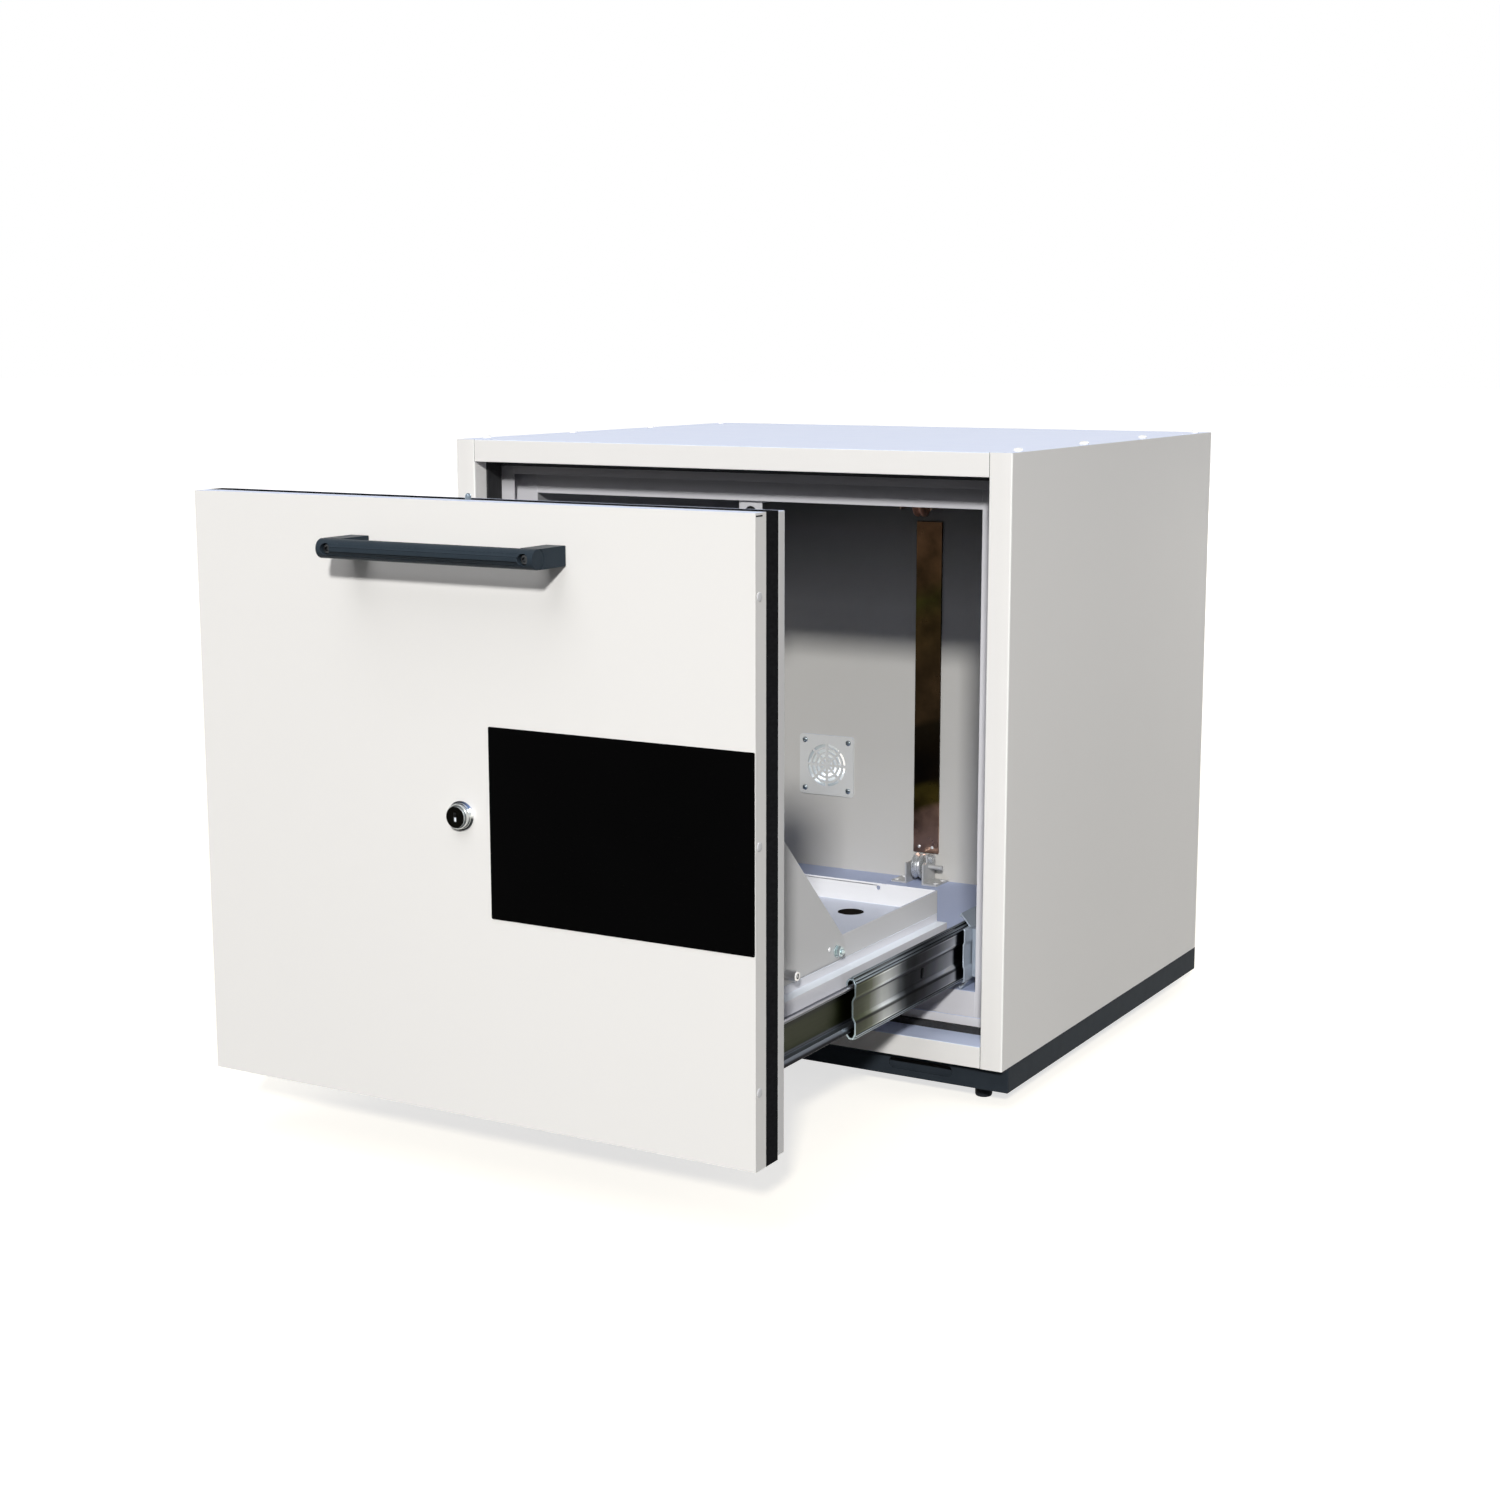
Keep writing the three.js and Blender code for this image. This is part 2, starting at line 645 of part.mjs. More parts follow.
// Closing gear: a cover strip up the back wall, a rope pulley between two angle brackets on the floor
// below it and another in a fork under the ceiling.
function addClosingGear() {
  const stripLow = cavityFloor + coverStripAboveFloor;
  const strip = block(
    [pulleyCentreX - coverStripWidth / 2, cavityBack - coverStripThickness, stripLow],
    [pulleyCentreX + coverStripWidth / 2, cavityBack, cavityCeiling - coverStripBelowCeiling],
  );
  add(cabinet, 'cover_strip', strip, bronze);

  const cheek = pulleyHubWidth / 2 + runningGap;
  const half = pulleyBracketSheet / 2;
  const bracketRear = cavityBack - pulleyWallGap;
  const bracketFront = bracketRear - pulleyBracketLength;
  const axleY = (bracketFront + bracketRear) / 2;
  const axleZ = cavityFloor + pulleyAxleAboveFloor;
  const axleRadius = pulleyAxleDiameter / 2;
  const bracketTop = cavityFloor + pulleyBracketHeight;
  const bracket = (sign) => {
    const folds = [
      [pulleyCentreX + sign * (cheek + half), bracketTop],
      [pulleyCentreX + sign * (cheek + half), cavityFloor + half],
      [pulleyCentreX + sign * (cheek + pulleyFootWidth), cavityFloor + half],
    ];
    return extrudeY(sheetShape(folds, pulleyBracketSheet), bracketFront, bracketRear);
  };
  const left = pulleyCentreX - cheek - pulleyBracketSheet;
  const right = pulleyCentreX + cheek + pulleyBracketSheet;
  const hole = rod('x', [axleY, axleZ], left - cutOverrun, pulleyCentreX, axleRadius + seatGap);
  add(cabinet, 'pulley_bracket_left', cut(bracket(-1), hole), zinc);
  const axle = rod('x', [axleY, axleZ], left - half, right + pulleyAxleOverhang, axleRadius);
  const rollerZ = cavityFloor + guideRollerAboveFloor;
  const pinRadius = guideRollerPinDiameter / 2;
  const rollerEnds = [guideRollerX - guideRollerLength / 2, guideRollerX + guideRollerLength / 2];
  const ear = block(
    [right - pulleyBracketSheet, axleY - guideRollerDiameter / 2, bracketTop - half],
    [right, axleY + guideRollerDiameter / 2, rollerZ + guideRollerDiameter / 2],
  );
  const pin = rod('x', [axleY, rollerZ], right - half, rollerEnds[1] + runningGap, pinRadius);
  add(cabinet, 'pulley_bracket_right', join(bracket(1), axle, ear, pin), zinc);
  add(cabinet, 'rope_pulley_lower', ropePulley(), chrome, [pulleyCentreX, axleY, axleZ]);
  const roller = turned([
    [pinRadius + seatGap, 0],
    [guideRollerDiameter / 2, 0],
    [guideRollerDiameter / 2, guideRollerLength],
    [pinRadius + seatGap, guideRollerLength],
    [pinRadius + seatGap, 0],
  ], smallSides).rotateZ(-Math.PI / 2);
  add(cabinet, 'guide_roller', roller, chrome, [rollerEnds[0], axleY, rollerZ]);

  const upperZ = cavityCeiling - upperPulleyDrop;
  const cheekBottom = cavityCeiling - upperCheekHeight;
  const forkHalf = upperForkWidth / 2 - half;
  const forkFolds = [
    [pulleyCentreX - forkHalf, cheekBottom],
    [pulleyCentreX - forkHalf, cavityCeiling - half],
    [pulleyCentreX + forkHalf, cavityCeiling - half],
    [pulleyCentreX + forkHalf, cheekBottom],
  ];
  const forkFront = bracketFront - upperPulleyForward;
  const upperAxleY = axleY - upperPulleyForward;
  const fork = extrudeY(sheetShape(forkFolds, pulleyBracketSheet), forkFront, bracketRear - upperPulleyForward);
  const axleEnds = [pulleyCentreX - forkHalf, pulleyCentreX + forkHalf];
  const upperAxle = rod('x', [upperAxleY, upperZ], axleEnds[0], axleEnds[1], axleRadius);
  add(cabinet, 'upper_pulley_fork', join(fork, upperAxle), zinc);
  add(cabinet, 'rope_pulley_upper', ropePulley(), chrome, [pulleyCentreX, upperAxleY, upperZ]);
}

// A rope pulley with a hollow rim and a hub that keeps it off its cheeks, turned about X.
function ropePulley() {
  const radius = pulleyDiameter / 2;
  const bore = pulleyAxleDiameter / 2 + seatGap;
  const hub = pulleyHubDiameter / 2;
  const rimShares = [0.5, 0.44, 0.3, 0.16, 0, -0.16, -0.3, -0.44, -0.5];
  const depthShares = [0.75, 0.2, 0, 0.55, 1, 0.55, 0, 0.2, 0.75];
  const rim = rimShares.map((share, i) => [radius - depthShares[i] * pulleyGrooveDepth, share * pulleyWidth]);
  const profile = [
    [bore, pulleyHubWidth / 2],
    [hub, pulleyHubWidth / 2],
    [hub, pulleyWidth / 2],
    ...rim,
    [hub, -pulleyWidth / 2],
    [hub, -pulleyHubWidth / 2],
    [bore, -pulleyHubWidth / 2],
    [bore, pulleyHubWidth / 2],
  ];
  return turned(profile.reverse()).rotateZ(-Math.PI / 2);
}

// The catch bracket hangs under the ceiling just behind the rebate.
function addCatch() {
  const half = catchSheet / 2;
  const front = liningFront + catchSetback;
  const folds = [
    [front + half, cavityCeiling - catchDrop],
    [front + half, cavityCeiling - half],
    [front + catchFootLength, cavityCeiling - half],
  ];
  const sheet = extrudeX(sheetShape(folds, catchSheet), -catchWidth / 2, catchWidth / 2);
  const holeCentre = [0, cavityCeiling - catchDrop * 0.6];
  const hole = rod('y', holeCentre, front - cutOverrun, front + catchSheet + cutOverrun, catchHoleDiameter / 2);
  add(cabinet, 'catch_bracket', cut(sheet, hole), coatWhite);
}

// Half sections of the slide members, from the middle height outwards: shares of the slide's
// thickness, from the drawer side, and of half its height.
function slideProfile(halfShares, sign) {
  const mirrored = halfShares.slice().reverse().map(([across, up]) => [across, -up]);
  return [...mirrored, ...halfShares].map(([across, up]) => [
    sign * (carriageHalfWidth + across * slideThickness),
    slideCentre + up * slideHeight / 2,
  ]);
}

// Ball slides: the outer member is screwed to the liner, the inner one to the carriage, and the
// middle one runs between them on rows of balls in its shoulders and hooks.
function addSlides() {
  const sheetShare = slideSheet / slideThickness;
  const outerShares = [
    [0.95 - sheetShare / 2, 0.28],
    [1 - sheetShare / 2, 0.35],
    [1 - sheetShare / 2, 0.66],
    [0.46, 0.98],
    [0.39, 0.92],
  ];
  const middleShares = [
    [0.55, 0.2],
    [0.68, 0.33],
    [0.68, 0.6],
    [0.57, 0.72],
    [0.39, 0.72],
    [0.28, 0.64],
    [0.28, 0.55],
  ];
  const innerShares = [
    [sheetShare / 2, 0.44],
    [0.34, 0.44],
    [0.5, 0.552],
  ];
  const outerFront = rebateStop + rebateSheet;
  const outerRear = cavityBack - slideRearGap;
  const middleShift = drawerTravel * middleTravelShare;
  const middleFront = outerFront + middleFrontGap - middleShift;
  const middleRear = outerRear - middleRearGap - middleShift;
  const flangeCut = slideHeight / 2 * 0.7;
  for (const [side, sign] of [['left', -1], ['right', 1]]) {
    const outer = extrudeY(sheetShape(slideProfile(outerShares, sign), slideSheet), outerFront, outerRear);
    const reach = [sign * (carriageHalfWidth - cutOverrun), sign * (cavityHalfWidth + cutOverrun)];
    const clipped = [1, -1].map((up) => {
      const heights = [slideCentre + up * flangeCut, slideCentre + up * slideHeight];
      return block(
        [Math.min(...reach), outerFront - cutOverrun, Math.min(...heights)],
        [Math.max(...reach), outerFront + slideTongue, Math.max(...heights)],
      );
    });
    add(cabinet, `slide_outer_${side}`, cut(outer, ...clipped), zinc);

    const mountFaces = [sign * (cavityHalfWidth - slideMountThickness), sign * cavityHalfWidth];
    const mount = block(
      [Math.min(...mountFaces), rebateDepth, slideCentre - slideMountHeight / 2],
      [Math.max(...mountFaces), outerRear, slideCentre + slideMountHeight / 2],
    );
    add(cabinet, `slide_mount_${side}`, mount, zinc);

    const middle = extrudeY(sheetShape(slideProfile(middleShares, sign), slideSheet), middleFront, middleRear);
    const balls = slideBalls(outerShares, middleShares, sign, middleFront, middleRear);
    const slot = roundedRectangle(slideSlotWidth, slideSlotHeight, slideSlotWidth / 2 - seatGap, 0, slideCentre);
    const slotY = middleFront + (middleRear - middleFront) * 0.345;
    const slotTool = extrudeX(slot, -slideThickness, slideThickness)
      .translate(sign * (carriageHalfWidth + slideThickness / 2), slotY, 0);
    add(drawer, `slide_middle_${side}`, cut(join(middle, ...balls), slotTool), brightZinc);

    const inner = extrudeY(sheetShape(slideProfile(innerShares, sign), slideSheet), frontRear, carriageRear);
    add(drawer, `slide_inner_${side}`, inner, brightZinc);
  }
}

// Rows of balls, held by the middle member: the outer rows run in the flanges of the outer member and
// the inner rows, in the hooks of the middle one, run on the lips of the inner member.
function slideBalls(outerShares, middleShares, sign, middleFront, middleRear) {
  const place = ([across, up]) => [carriageHalfWidth + across * slideThickness, up * slideHeight / 2];
  const hookFrom = place(middleShares[3]);
  const hookTo = place(middleShares[4]);
  const across = (hookFrom[0] + hookTo[0]) / 2;
  const hookOutside = hookFrom[1] + slideSheet / 2;
  const hookInside = hookFrom[1] - slideSheet / 2;
  const flangeFrom = place(outerShares[2]);
  const flangeTo = place(outerShares[3]);
  const run = new THREE.Vector2(flangeTo[0] - flangeFrom[0], flangeTo[1] - flangeFrom[1]);
  const slope = run.y / run.x;
  const flangeAbove = flangeFrom[1] + slope * (across - flangeFrom[0]);
  const reach = Math.abs(run.x) / run.length();
  const flangeInside = (flangeAbove - hookOutside) * reach - slideSheet / 2 - seatGap;
  const outerRadius = flangeInside / (1 + reach) + slideSheet / 8;
  const outerCentre = hookOutside + (flangeInside - outerRadius) / reach;
  const innerRadius = slideBallDiameter / 2;
  const innerCentre = hookInside - innerRadius + slideSheet / 8;
  const length = middleRear - middleFront;
  const rows = [
    { height: outerCentre, radius: outerRadius, shares: [0.63, 0.74, 0.85, 0.96] },
    { height: innerCentre, radius: innerRadius, shares: [0.03, 0.16, 0.29, 0.42] },
  ];
  return rows.flatMap(({ height, radius, shares }) => shares.flatMap((share) => [1, -1].map((up) => {
    const ball = new THREE.SphereGeometry(radius, 8, 6);
    return ball.translate(sign * across, middleFront + share * length, slideCentre + up * height);
  })));
}

// The drawer front: a sheet pan, a black core board that shows all round its edge and a back plate.
function addDrawerFront() {
  const panRear = frontFace + frontPanDepth;
  const coreRear = panRear + coreEdgeDepth;
  const pan = block([-frontHalfWidth, frontFace, frontBottom], [frontHalfWidth, panRear, frontTop]);
  const panHollow = block(
    [-frontHalfWidth + frontSheet, frontFace + frontSheet, frontBottom + frontSheet],
    [frontHalfWidth - frontSheet, panRear + cutOverrun, frontTop - frontSheet],
  );
  const boltHole = rod('z', [0, frontFace + boltInset], lockCentre, frontTop + cutOverrun, boltDiameter / 2 + seatGap);
  const lockRadius = lockRingDiameter / 2 + seatGap;
  const lockHole = rod('y', [0, lockCentre], frontFace - cutOverrun, frontFace + lockHousingDepth + seatGap, lockRadius);
  add(drawer, 'front_pan', cut(pan, panHollow, boltHole, lockHole), coatWhite);

  const plug = block(
    [-frontHalfWidth + frontSheet, frontFace + frontSheet, frontBottom + frontSheet],
    [frontHalfWidth - frontSheet, panRear + cutOverrun, frontTop - frontSheet],
  );
  const board = block([-frontHalfWidth, panRear, frontBottom], [frontHalfWidth, coreRear, frontTop]);
  const camRadius = camLowRadius + boltThrow + camPocketGap;
  const camFrom = frontFace + boltInset - camThickness / 2 - camPocketGap;
  const camTo = frontFace + boltInset + camThickness / 2 + camPocketGap;
  const camPocket = rod('y', [0, lockCentre], camFrom, camTo, camRadius, roundSides);
  add(drawer, 'front_core', cut(join(board, plug), boltHole, lockHole, camPocket), coreBlack);

  const plateLow = frontBottom + backPlateBottomInset;
  const plateHigh = frontTop - backPlateTopInset;
  const plate = block([-frontHalfWidth, coreRear, plateLow], [frontHalfWidth, frontRear, plateHigh]);
  const plateHollow = block(
    [-frontHalfWidth + frontSheet, coreRear - cutOverrun, plateLow + frontSheet],
    [frontHalfWidth - frontSheet, frontRear - frontSheet, plateHigh - frontSheet],
  );
  add(drawer, 'front_back_plate', cut(plate, plateHollow), coatWhite);
}

// The handle bar is drilled for the screws that draw it and its posts to the drawer front.
function addHandle() {
  const barY = frontFace - handleStandoff;
  const barZ = frontTop - handleBelowTop;
  const barRadius = handleBarDiameter / 2;
  const bar = rod('x', [barY, barZ], -handleLength / 2, handleLength / 2, barRadius, roundSides);
  const screws = [-1, 1].map((sign) => sign * (handleLength / 2 - handleScrewInset));
  const recesses = screws.map((x) => {
    const bottom = barY - barRadius + handleRecessDepth;
    return rod('y', [x, barZ], barY - handleBarDiameter, bottom, handleRecessDiameter / 2);
  });
  const holes = screws.map((x) => rod('y', [x, barZ], barY - barRadius, frontFace + cutOverrun, handleScrewHoleDiameter / 2));
  add(drawer, 'handle_bar', cut(bar, ...recesses, ...holes), handleBlue);
  const saddle = rod('x', [barY, barZ], -handleLength, handleLength, barRadius + seatGap, roundSides);
  for (const [side, sign] of [['left', -1], ['right', 1]]) {
    const outer = sign * handleLength / 2;
    const inner = sign * (handleLength / 2 - handlePostWidth);
    const post = block(
      [Math.min(outer, inner), barY, barZ - barRadius],
      [Math.max(outer, inner), frontFace, barZ + barRadius],
    );
    add(drawer, `handle_post_${side}`, cut(post, saddle, ...holes), handleBlue);
  }
}

// The lock: a housing with a collar, a barrel with a key slot and a cam, and the bolt that the cam
// lifts. The cam's radius grows steadily with its turn, so that the bolt rises evenly.
function addLock() {
  const bore = lockBoreDiameter / 2;
  const housing = turned([
    [bore, lockHousingDepth],
    [bore, -lockRingProud],
    [lockRingDiameter / 2, -lockRingProud],
    [lockRingDiameter / 2, -lockCollarProud],
    [lockCollarDiameter / 2, -lockCollarProud],
    [lockCollarDiameter / 2, 0],
    [lockRingDiameter / 2, 0],
    [lockRingDiameter / 2, lockHousingDepth],
    [bore, lockHousingDepth],
  ]);
  add(drawer, 'lock_housing', housing, chrome, [0, frontFace, lockCentre]);

  const barrelRadius = lockBarrelDiameter / 2;
  const camFrom = boltInset - camThickness / 2;
  const camTo = boltInset + camThickness / 2;
  const barrel = rod('y', [0, 0], -lockBarrelProud, camFrom + cutOverrun, barrelRadius, roundSides);
  const keyway = block(
    [-keywayWidth / 2, -lockBarrelProud - cutOverrun, -keywayHeight / 2],
    [keywayWidth / 2, -lockBarrelProud + keywayDepth, keywayHeight / 2],
  );
  const core = cut(join(barrel, extrudeY(camShape(), camFrom, camTo)), keyway);
  add(drawer, 'lock_barrel', core, barrelBlack, [0, frontFace, lockCentre]);

  const radius = boltDiameter / 2;
  const low = lockCentre + camLowRadius + runningGap;
  const high = frontTop + boltProud;
  const dome = [0, 1 / 3, 2 / 3, 1].map((share) => share * Math.PI / 2);
  const profile = [
    ...dome.map((angle) => [radius * Math.sin(angle), low + radius * (1 - Math.cos(angle))]),
    ...dome.slice().reverse().map((angle) => [radius * Math.sin(angle), high - radius * (1 - Math.cos(angle))]),
  ];
  const bolt = turned(profile, smallSides).rotateX(Math.PI / 2);
  add(drawer, 'lock_bolt', bolt, chrome, [0, frontFace + boltInset, 0]);
}

// The cam seen from the front: its radius is least at the top and grows steadily to the left, so that
// the bolt rises as the key turns clockwise.
function camShape() {
  const steps = 10;
  const points = [];
  for (let i = 0; i < steps * 2; i += 1) {
    const angle = i * Math.PI / steps;
    const rise = THREE.MathUtils.clamp((angle - Math.PI / 2) / (Math.PI / 2), 0, 1);
    const fall = THREE.MathUtils.clamp((Math.PI * 2 - angle) / (Math.PI / 2), 0, 1);
    const radius = camLowRadius + boltThrow * Math.min(rise, fall);
    points.push([radius * Math.cos(angle), radius * Math.sin(angle)]);
  }
  return shapeOf(points);
}

// The carriage is one folded sheet: a base, a step down to a shoulder on each side and the side
// plates that the inner slide members are screwed to, turned in again along the bottom.
function addCarriage() {
  const half = carriageSheet / 2;
  const sideBottom = slideCentre - carriageSideBelowSlide;
  const rightFolds = [
    [upstandHalfWidth - half, baseTop - half],
    [upstandHalfWidth - half, shoulderTop - half],
    [carriageHalfWidth - half, shoulderTop - half],
    [carriageHalfWidth - half, sideBottom + half],
    [carriageHalfWidth - carriageReturn, sideBottom + half],
  ];
  const leftFolds = rightFolds.map(([x, z]) => [-x, z]).reverse();
  const sheet = extrudeY(sheetShape([...leftFolds, ...rightFolds], carriageSheet), frontRear, carriageRear);
  add(drawer, 'carriage', cut(sheet, drainHole(baseTop - carriageSheet, baseTop, traySheet)), coatWhite);
}

function drainHole(low, high, allowance) {
  const centre = [trayHalfWidth() - trayDrainFromSide, trayRear() - trayDrainFromRear];
  return rod('z', centre, low - cutOverrun, high + cutOverrun, trayDrainDiameter / 2 + allowance, roundSides);
}

function trayHalfWidth() {
  return upstandHalfWidth;
}

function trayRear() {
  return carriageRear;
}

// The spill tray stands on the carriage, flush with its step, and has a drain hole and a screw hole in
// its rear wall.
function addTray() {
  const half = trayHalfWidth();
  const rear = trayRear();
  const front = frontRear + gussetSheet + seatGap;
  const top = baseTop + trayWallHeight;
  const outside = block([-half, front, baseTop], [half, rear, top]);
  const hollow = block(
    [-half + traySheet, front + traySheet, baseTop + traySheet],
    [half - traySheet, rear - traySheet, top + cutOverrun],
  );
  const drain = drainHole(baseTop, baseTop + traySheet, 0);
  const screwCentre = [half - trayScrewHoleFromSide, top - trayScrewHoleBelowRim];
  const screwHole = rod('y', screwCentre, rear - traySheet - cutOverrun, rear + cutOverrun, trayScrewHoleDiameter / 2);
  add(drawer, 'spill_tray', cut(outside, hollow, drain, screwHole), coatWhite);
}

// Gusset plates stiffen the drawer front. Each lies on the outside of the tray and has a sloping edge,
// a flange against the back plate and two bolt holes into the tray's side.
function addGussets() {
  const bottom = baseTop + gussetBottomGap;
  const nose = frontRear + gussetLength;
  const slope = (gussetHeight - gussetNoseHeight) / gussetLength;
  const noseTop = bottom + gussetNoseHeight;
  const outline = new THREE.Shape();
  outline.moveTo(frontRear, bottom);
  outline.lineTo(nose, bottom);
  outline.lineTo(nose, noseTop - gussetCornerLength);
  outline.quadraticCurveTo(nose, noseTop, nose - gussetCornerLength, noseTop + gussetCornerLength * slope);
  outline.lineTo(frontRear, bottom + gussetHeight);
  const outside = upstandHalfWidth + gussetSheet;
  for (const [side, sign] of [['left', -1], ['right', 1]]) {
    const faces = [sign * outside, sign * upstandHalfWidth];
    const plate = extrudeX(outline, Math.min(...faces), Math.max(...faces));
    const flangeEnds = [sign * outside, sign * (outside - gussetFlangeWidth)];
    const flange = block(
      [Math.min(...flangeEnds), frontRear, bottom],
      [Math.max(...flangeEnds), frontRear + gussetSheet, bottom + gussetHeight - gussetSheet],
    );
    const holes = [gussetFrontHoleFromNose, gussetRearHoleFromNose].map((fromNose) => rod(
      'x',
      [nose - fromNose, bottom + gussetHoleAboveBottom],
      Math.min(...faces) - cutOverrun,
      Math.max(...faces) + cutOverrun,
      gussetHoleDiameter / 2,
    ));
    add(drawer, `gusset_${side}`, cut(join(plate, flange), ...holes), coatWhite);
  }
}
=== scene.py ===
import math
import bpy
from mathutils import Euler, Matrix, Vector


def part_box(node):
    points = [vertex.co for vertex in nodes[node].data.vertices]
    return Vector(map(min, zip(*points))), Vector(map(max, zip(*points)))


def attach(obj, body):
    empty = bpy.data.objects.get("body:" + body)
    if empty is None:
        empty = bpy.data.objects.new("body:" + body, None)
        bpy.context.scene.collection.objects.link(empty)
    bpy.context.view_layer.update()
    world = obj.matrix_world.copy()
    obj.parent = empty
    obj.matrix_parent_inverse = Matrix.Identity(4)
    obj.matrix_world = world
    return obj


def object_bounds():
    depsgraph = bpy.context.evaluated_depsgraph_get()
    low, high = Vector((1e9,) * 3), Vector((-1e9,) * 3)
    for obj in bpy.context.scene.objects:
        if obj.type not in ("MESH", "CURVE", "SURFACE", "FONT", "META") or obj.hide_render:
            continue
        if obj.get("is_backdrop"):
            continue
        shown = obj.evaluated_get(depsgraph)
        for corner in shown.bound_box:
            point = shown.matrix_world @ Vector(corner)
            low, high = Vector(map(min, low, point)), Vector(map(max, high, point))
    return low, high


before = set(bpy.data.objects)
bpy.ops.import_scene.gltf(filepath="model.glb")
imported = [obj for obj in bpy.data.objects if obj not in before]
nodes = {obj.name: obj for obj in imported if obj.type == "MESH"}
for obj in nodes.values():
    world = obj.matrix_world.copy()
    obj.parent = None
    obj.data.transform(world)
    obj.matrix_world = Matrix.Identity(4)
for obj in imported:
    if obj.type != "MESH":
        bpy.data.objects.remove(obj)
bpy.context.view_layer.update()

# Viewpoint
# The camera stands to the right of the cabinet and a little above it, where the photograph was taken
# from. Its lens and place were worked out from the corners of the case and of the drawer front.

camera_data = bpy.data.cameras.new("viewpoint")
camera_data.sensor_width = 36
camera_data.lens = 56.957
camera = bpy.data.objects.new("viewpoint", camera_data)
bpy.context.scene.collection.objects.link(camera)
looks_down = 9.892
looks_aside = 29.954
leans = -0.059
stands_at = (1.1378, -1.95655, 0.7003)
turn = Euler((math.radians(90 - looks_down), 0, math.radians(looks_aside))).to_matrix().to_4x4()
tilt = Matrix.Rotation(math.radians(leans), 4, "Z")
camera.matrix_world = Matrix.Translation(stands_at) @ turn @ tilt
bpy.context.scene.camera = camera
bpy.context.scene.view_settings.view_transform = "Standard"

# Floor and light
# A plain pale floor under the feet. It stays white to the eye, to metal and to gloss, and gives only
# a soft grey bounce to everything else.


class Signal:
    """An output of a shader node. Arithmetic on it adds Math nodes to the same material."""

    def __init__(self, finish, socket):
        self.finish = finish
        self.socket = socket

    def maths(self, operation, *terms):
        return self.finish.node("ShaderNodeMath", {"operation": operation}, dict(enumerate(terms)))

    def __add__(self, other):
        return self.maths("ADD", self, other)

    def __sub__(self, other):
        return self.maths("SUBTRACT", self, other)

    def __rsub__(self, other):
        return self.maths("SUBTRACT", other, self)

    def __mul__(self, other):
        return self.maths("MULTIPLY", self, other)

    def __truediv__(self, other):
        return self.maths("DIVIDE", self, other)

    __radd__ = __add__
    __rmul__ = __mul__


class Finish:
    """A material, or the world, whose nodes are added one by one."""

    def __init__(self, name, block=None, **sockets):
        self.block = block or bpy.data.materials.new(name)
        self.block.use_nodes = True
        self.tree = self.block.node_tree
        self.shader = self.tree.nodes.get("Principled BSDF")
        for key, value in sockets.items():
            self.join(self.shader.inputs[key.replace("_", " ")], value)

    def join(self, socket, value):
        if isinstance(value, Signal):
            self.tree.links.new(value.socket, socket)
        elif isinstance(value, tuple) and socket.type == "RGBA":
            socket.default_value = (*value, 1)
        else:
            socket.default_value = value

    def node(self, kind, settings={}, sockets={}, out=0):
        made = self.tree.nodes.new(kind)
        for key, value in settings.items():
            if key == "stops":
                ramp = made.color_ramp.elements
                while len(ramp) < len(value):
                    ramp.new(0.5)
                for stop, (place, colour) in zip(ramp, value):
                    stop.position = place
                    stop.color = (*colour, 1)
            else:
                setattr(made, key, value)
        for key, value in sockets.items():
            self.join(made.inputs[key], value)
        return Signal(self, made.outputs[out])

    def mix(self, share, first, second):
        """A colour between two colours."""
        return self.node("ShaderNodeMix", {"data_type": "RGBA"}, {0: share, 6: first, 7: second}, out=2)

    def place(self, stretch=(1, 1, 1)):
        """Where a point is on the piece, in metres times a stretch for each direction."""
        at = self.node("ShaderNodeTexCoord", out="Object")
        return self.node("ShaderNodeVectorMath", {"operation": "MULTIPLY"}, {0: at, 1: stretch})

    def noise(self, scale, detail=2, stretch=(1, 1, 1)):
        """A soft random pattern. The larger the scale, the finer it is."""
        sockets = {"Vector": self.place(stretch), "Scale": scale, "Detail": detail}
        return self.node("ShaderNodeTexNoise", {}, sockets)

    def axis(self, vector, name):
        """One number of a place or a direction: X, Y or Z."""
        return self.node("ShaderNodeSeparateXYZ", {}, {0: vector}, out=name)

    def clamp(self, value):
        """The value, held between nought and one."""
        return self.node("ShaderNodeClamp", {}, {"Value": value})

    def facing(self):
        """The direction that the face looks in."""
        return self.node("ShaderNodeNewGeometry", out="Normal")

    def tone(self, share, stops):
        """A colour read from stops, along a share from nought to one."""
        return self.node("ShaderNodeValToRGB", {"stops": stops}, {0: share})

    def bump(self, height, distance, strength=1):
        sockets = {"Height": height, "Distance": distance, "Strength": strength}
        self.join(self.shader.inputs["Normal"], self.node("ShaderNodeBump", {}, sockets))

    def set(self, socket, value):
        self.join(self.shader.inputs[socket], value)


def seen_directly(finish):
    """One for what the eye, a mirror or glass sees, and nought for light that bounces."""
    path = "ShaderNodeLightPath"
    direct = finish.node(path, out="Is Camera Ray") + finish.node(path, out="Is Glossy Ray")
    return direct + finish.node(path, out="Is Transmission Ray")


def mesh_of(name, points, faces):
    """A mesh from its points and faces."""
    mesh = bpy.data.meshes.new(name)
    mesh.from_pydata(points, [], faces)
    mesh.validate()
    mesh.update()
    return mesh


def piece(name, mesh, finish, body, at=(0, 0, 0), turned=None):
    """A new piece of the cabinet, in place, that moves with a body."""
    made = bpy.data.objects.new(name, mesh)
    bpy.context.scene.collection.objects.link(made)
    if not mesh.materials:
        mesh.materials.append(finish.block)
    made.matrix_world = Matrix.Translation(at) @ (turned or Matrix.Identity(4))
    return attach(made, body)


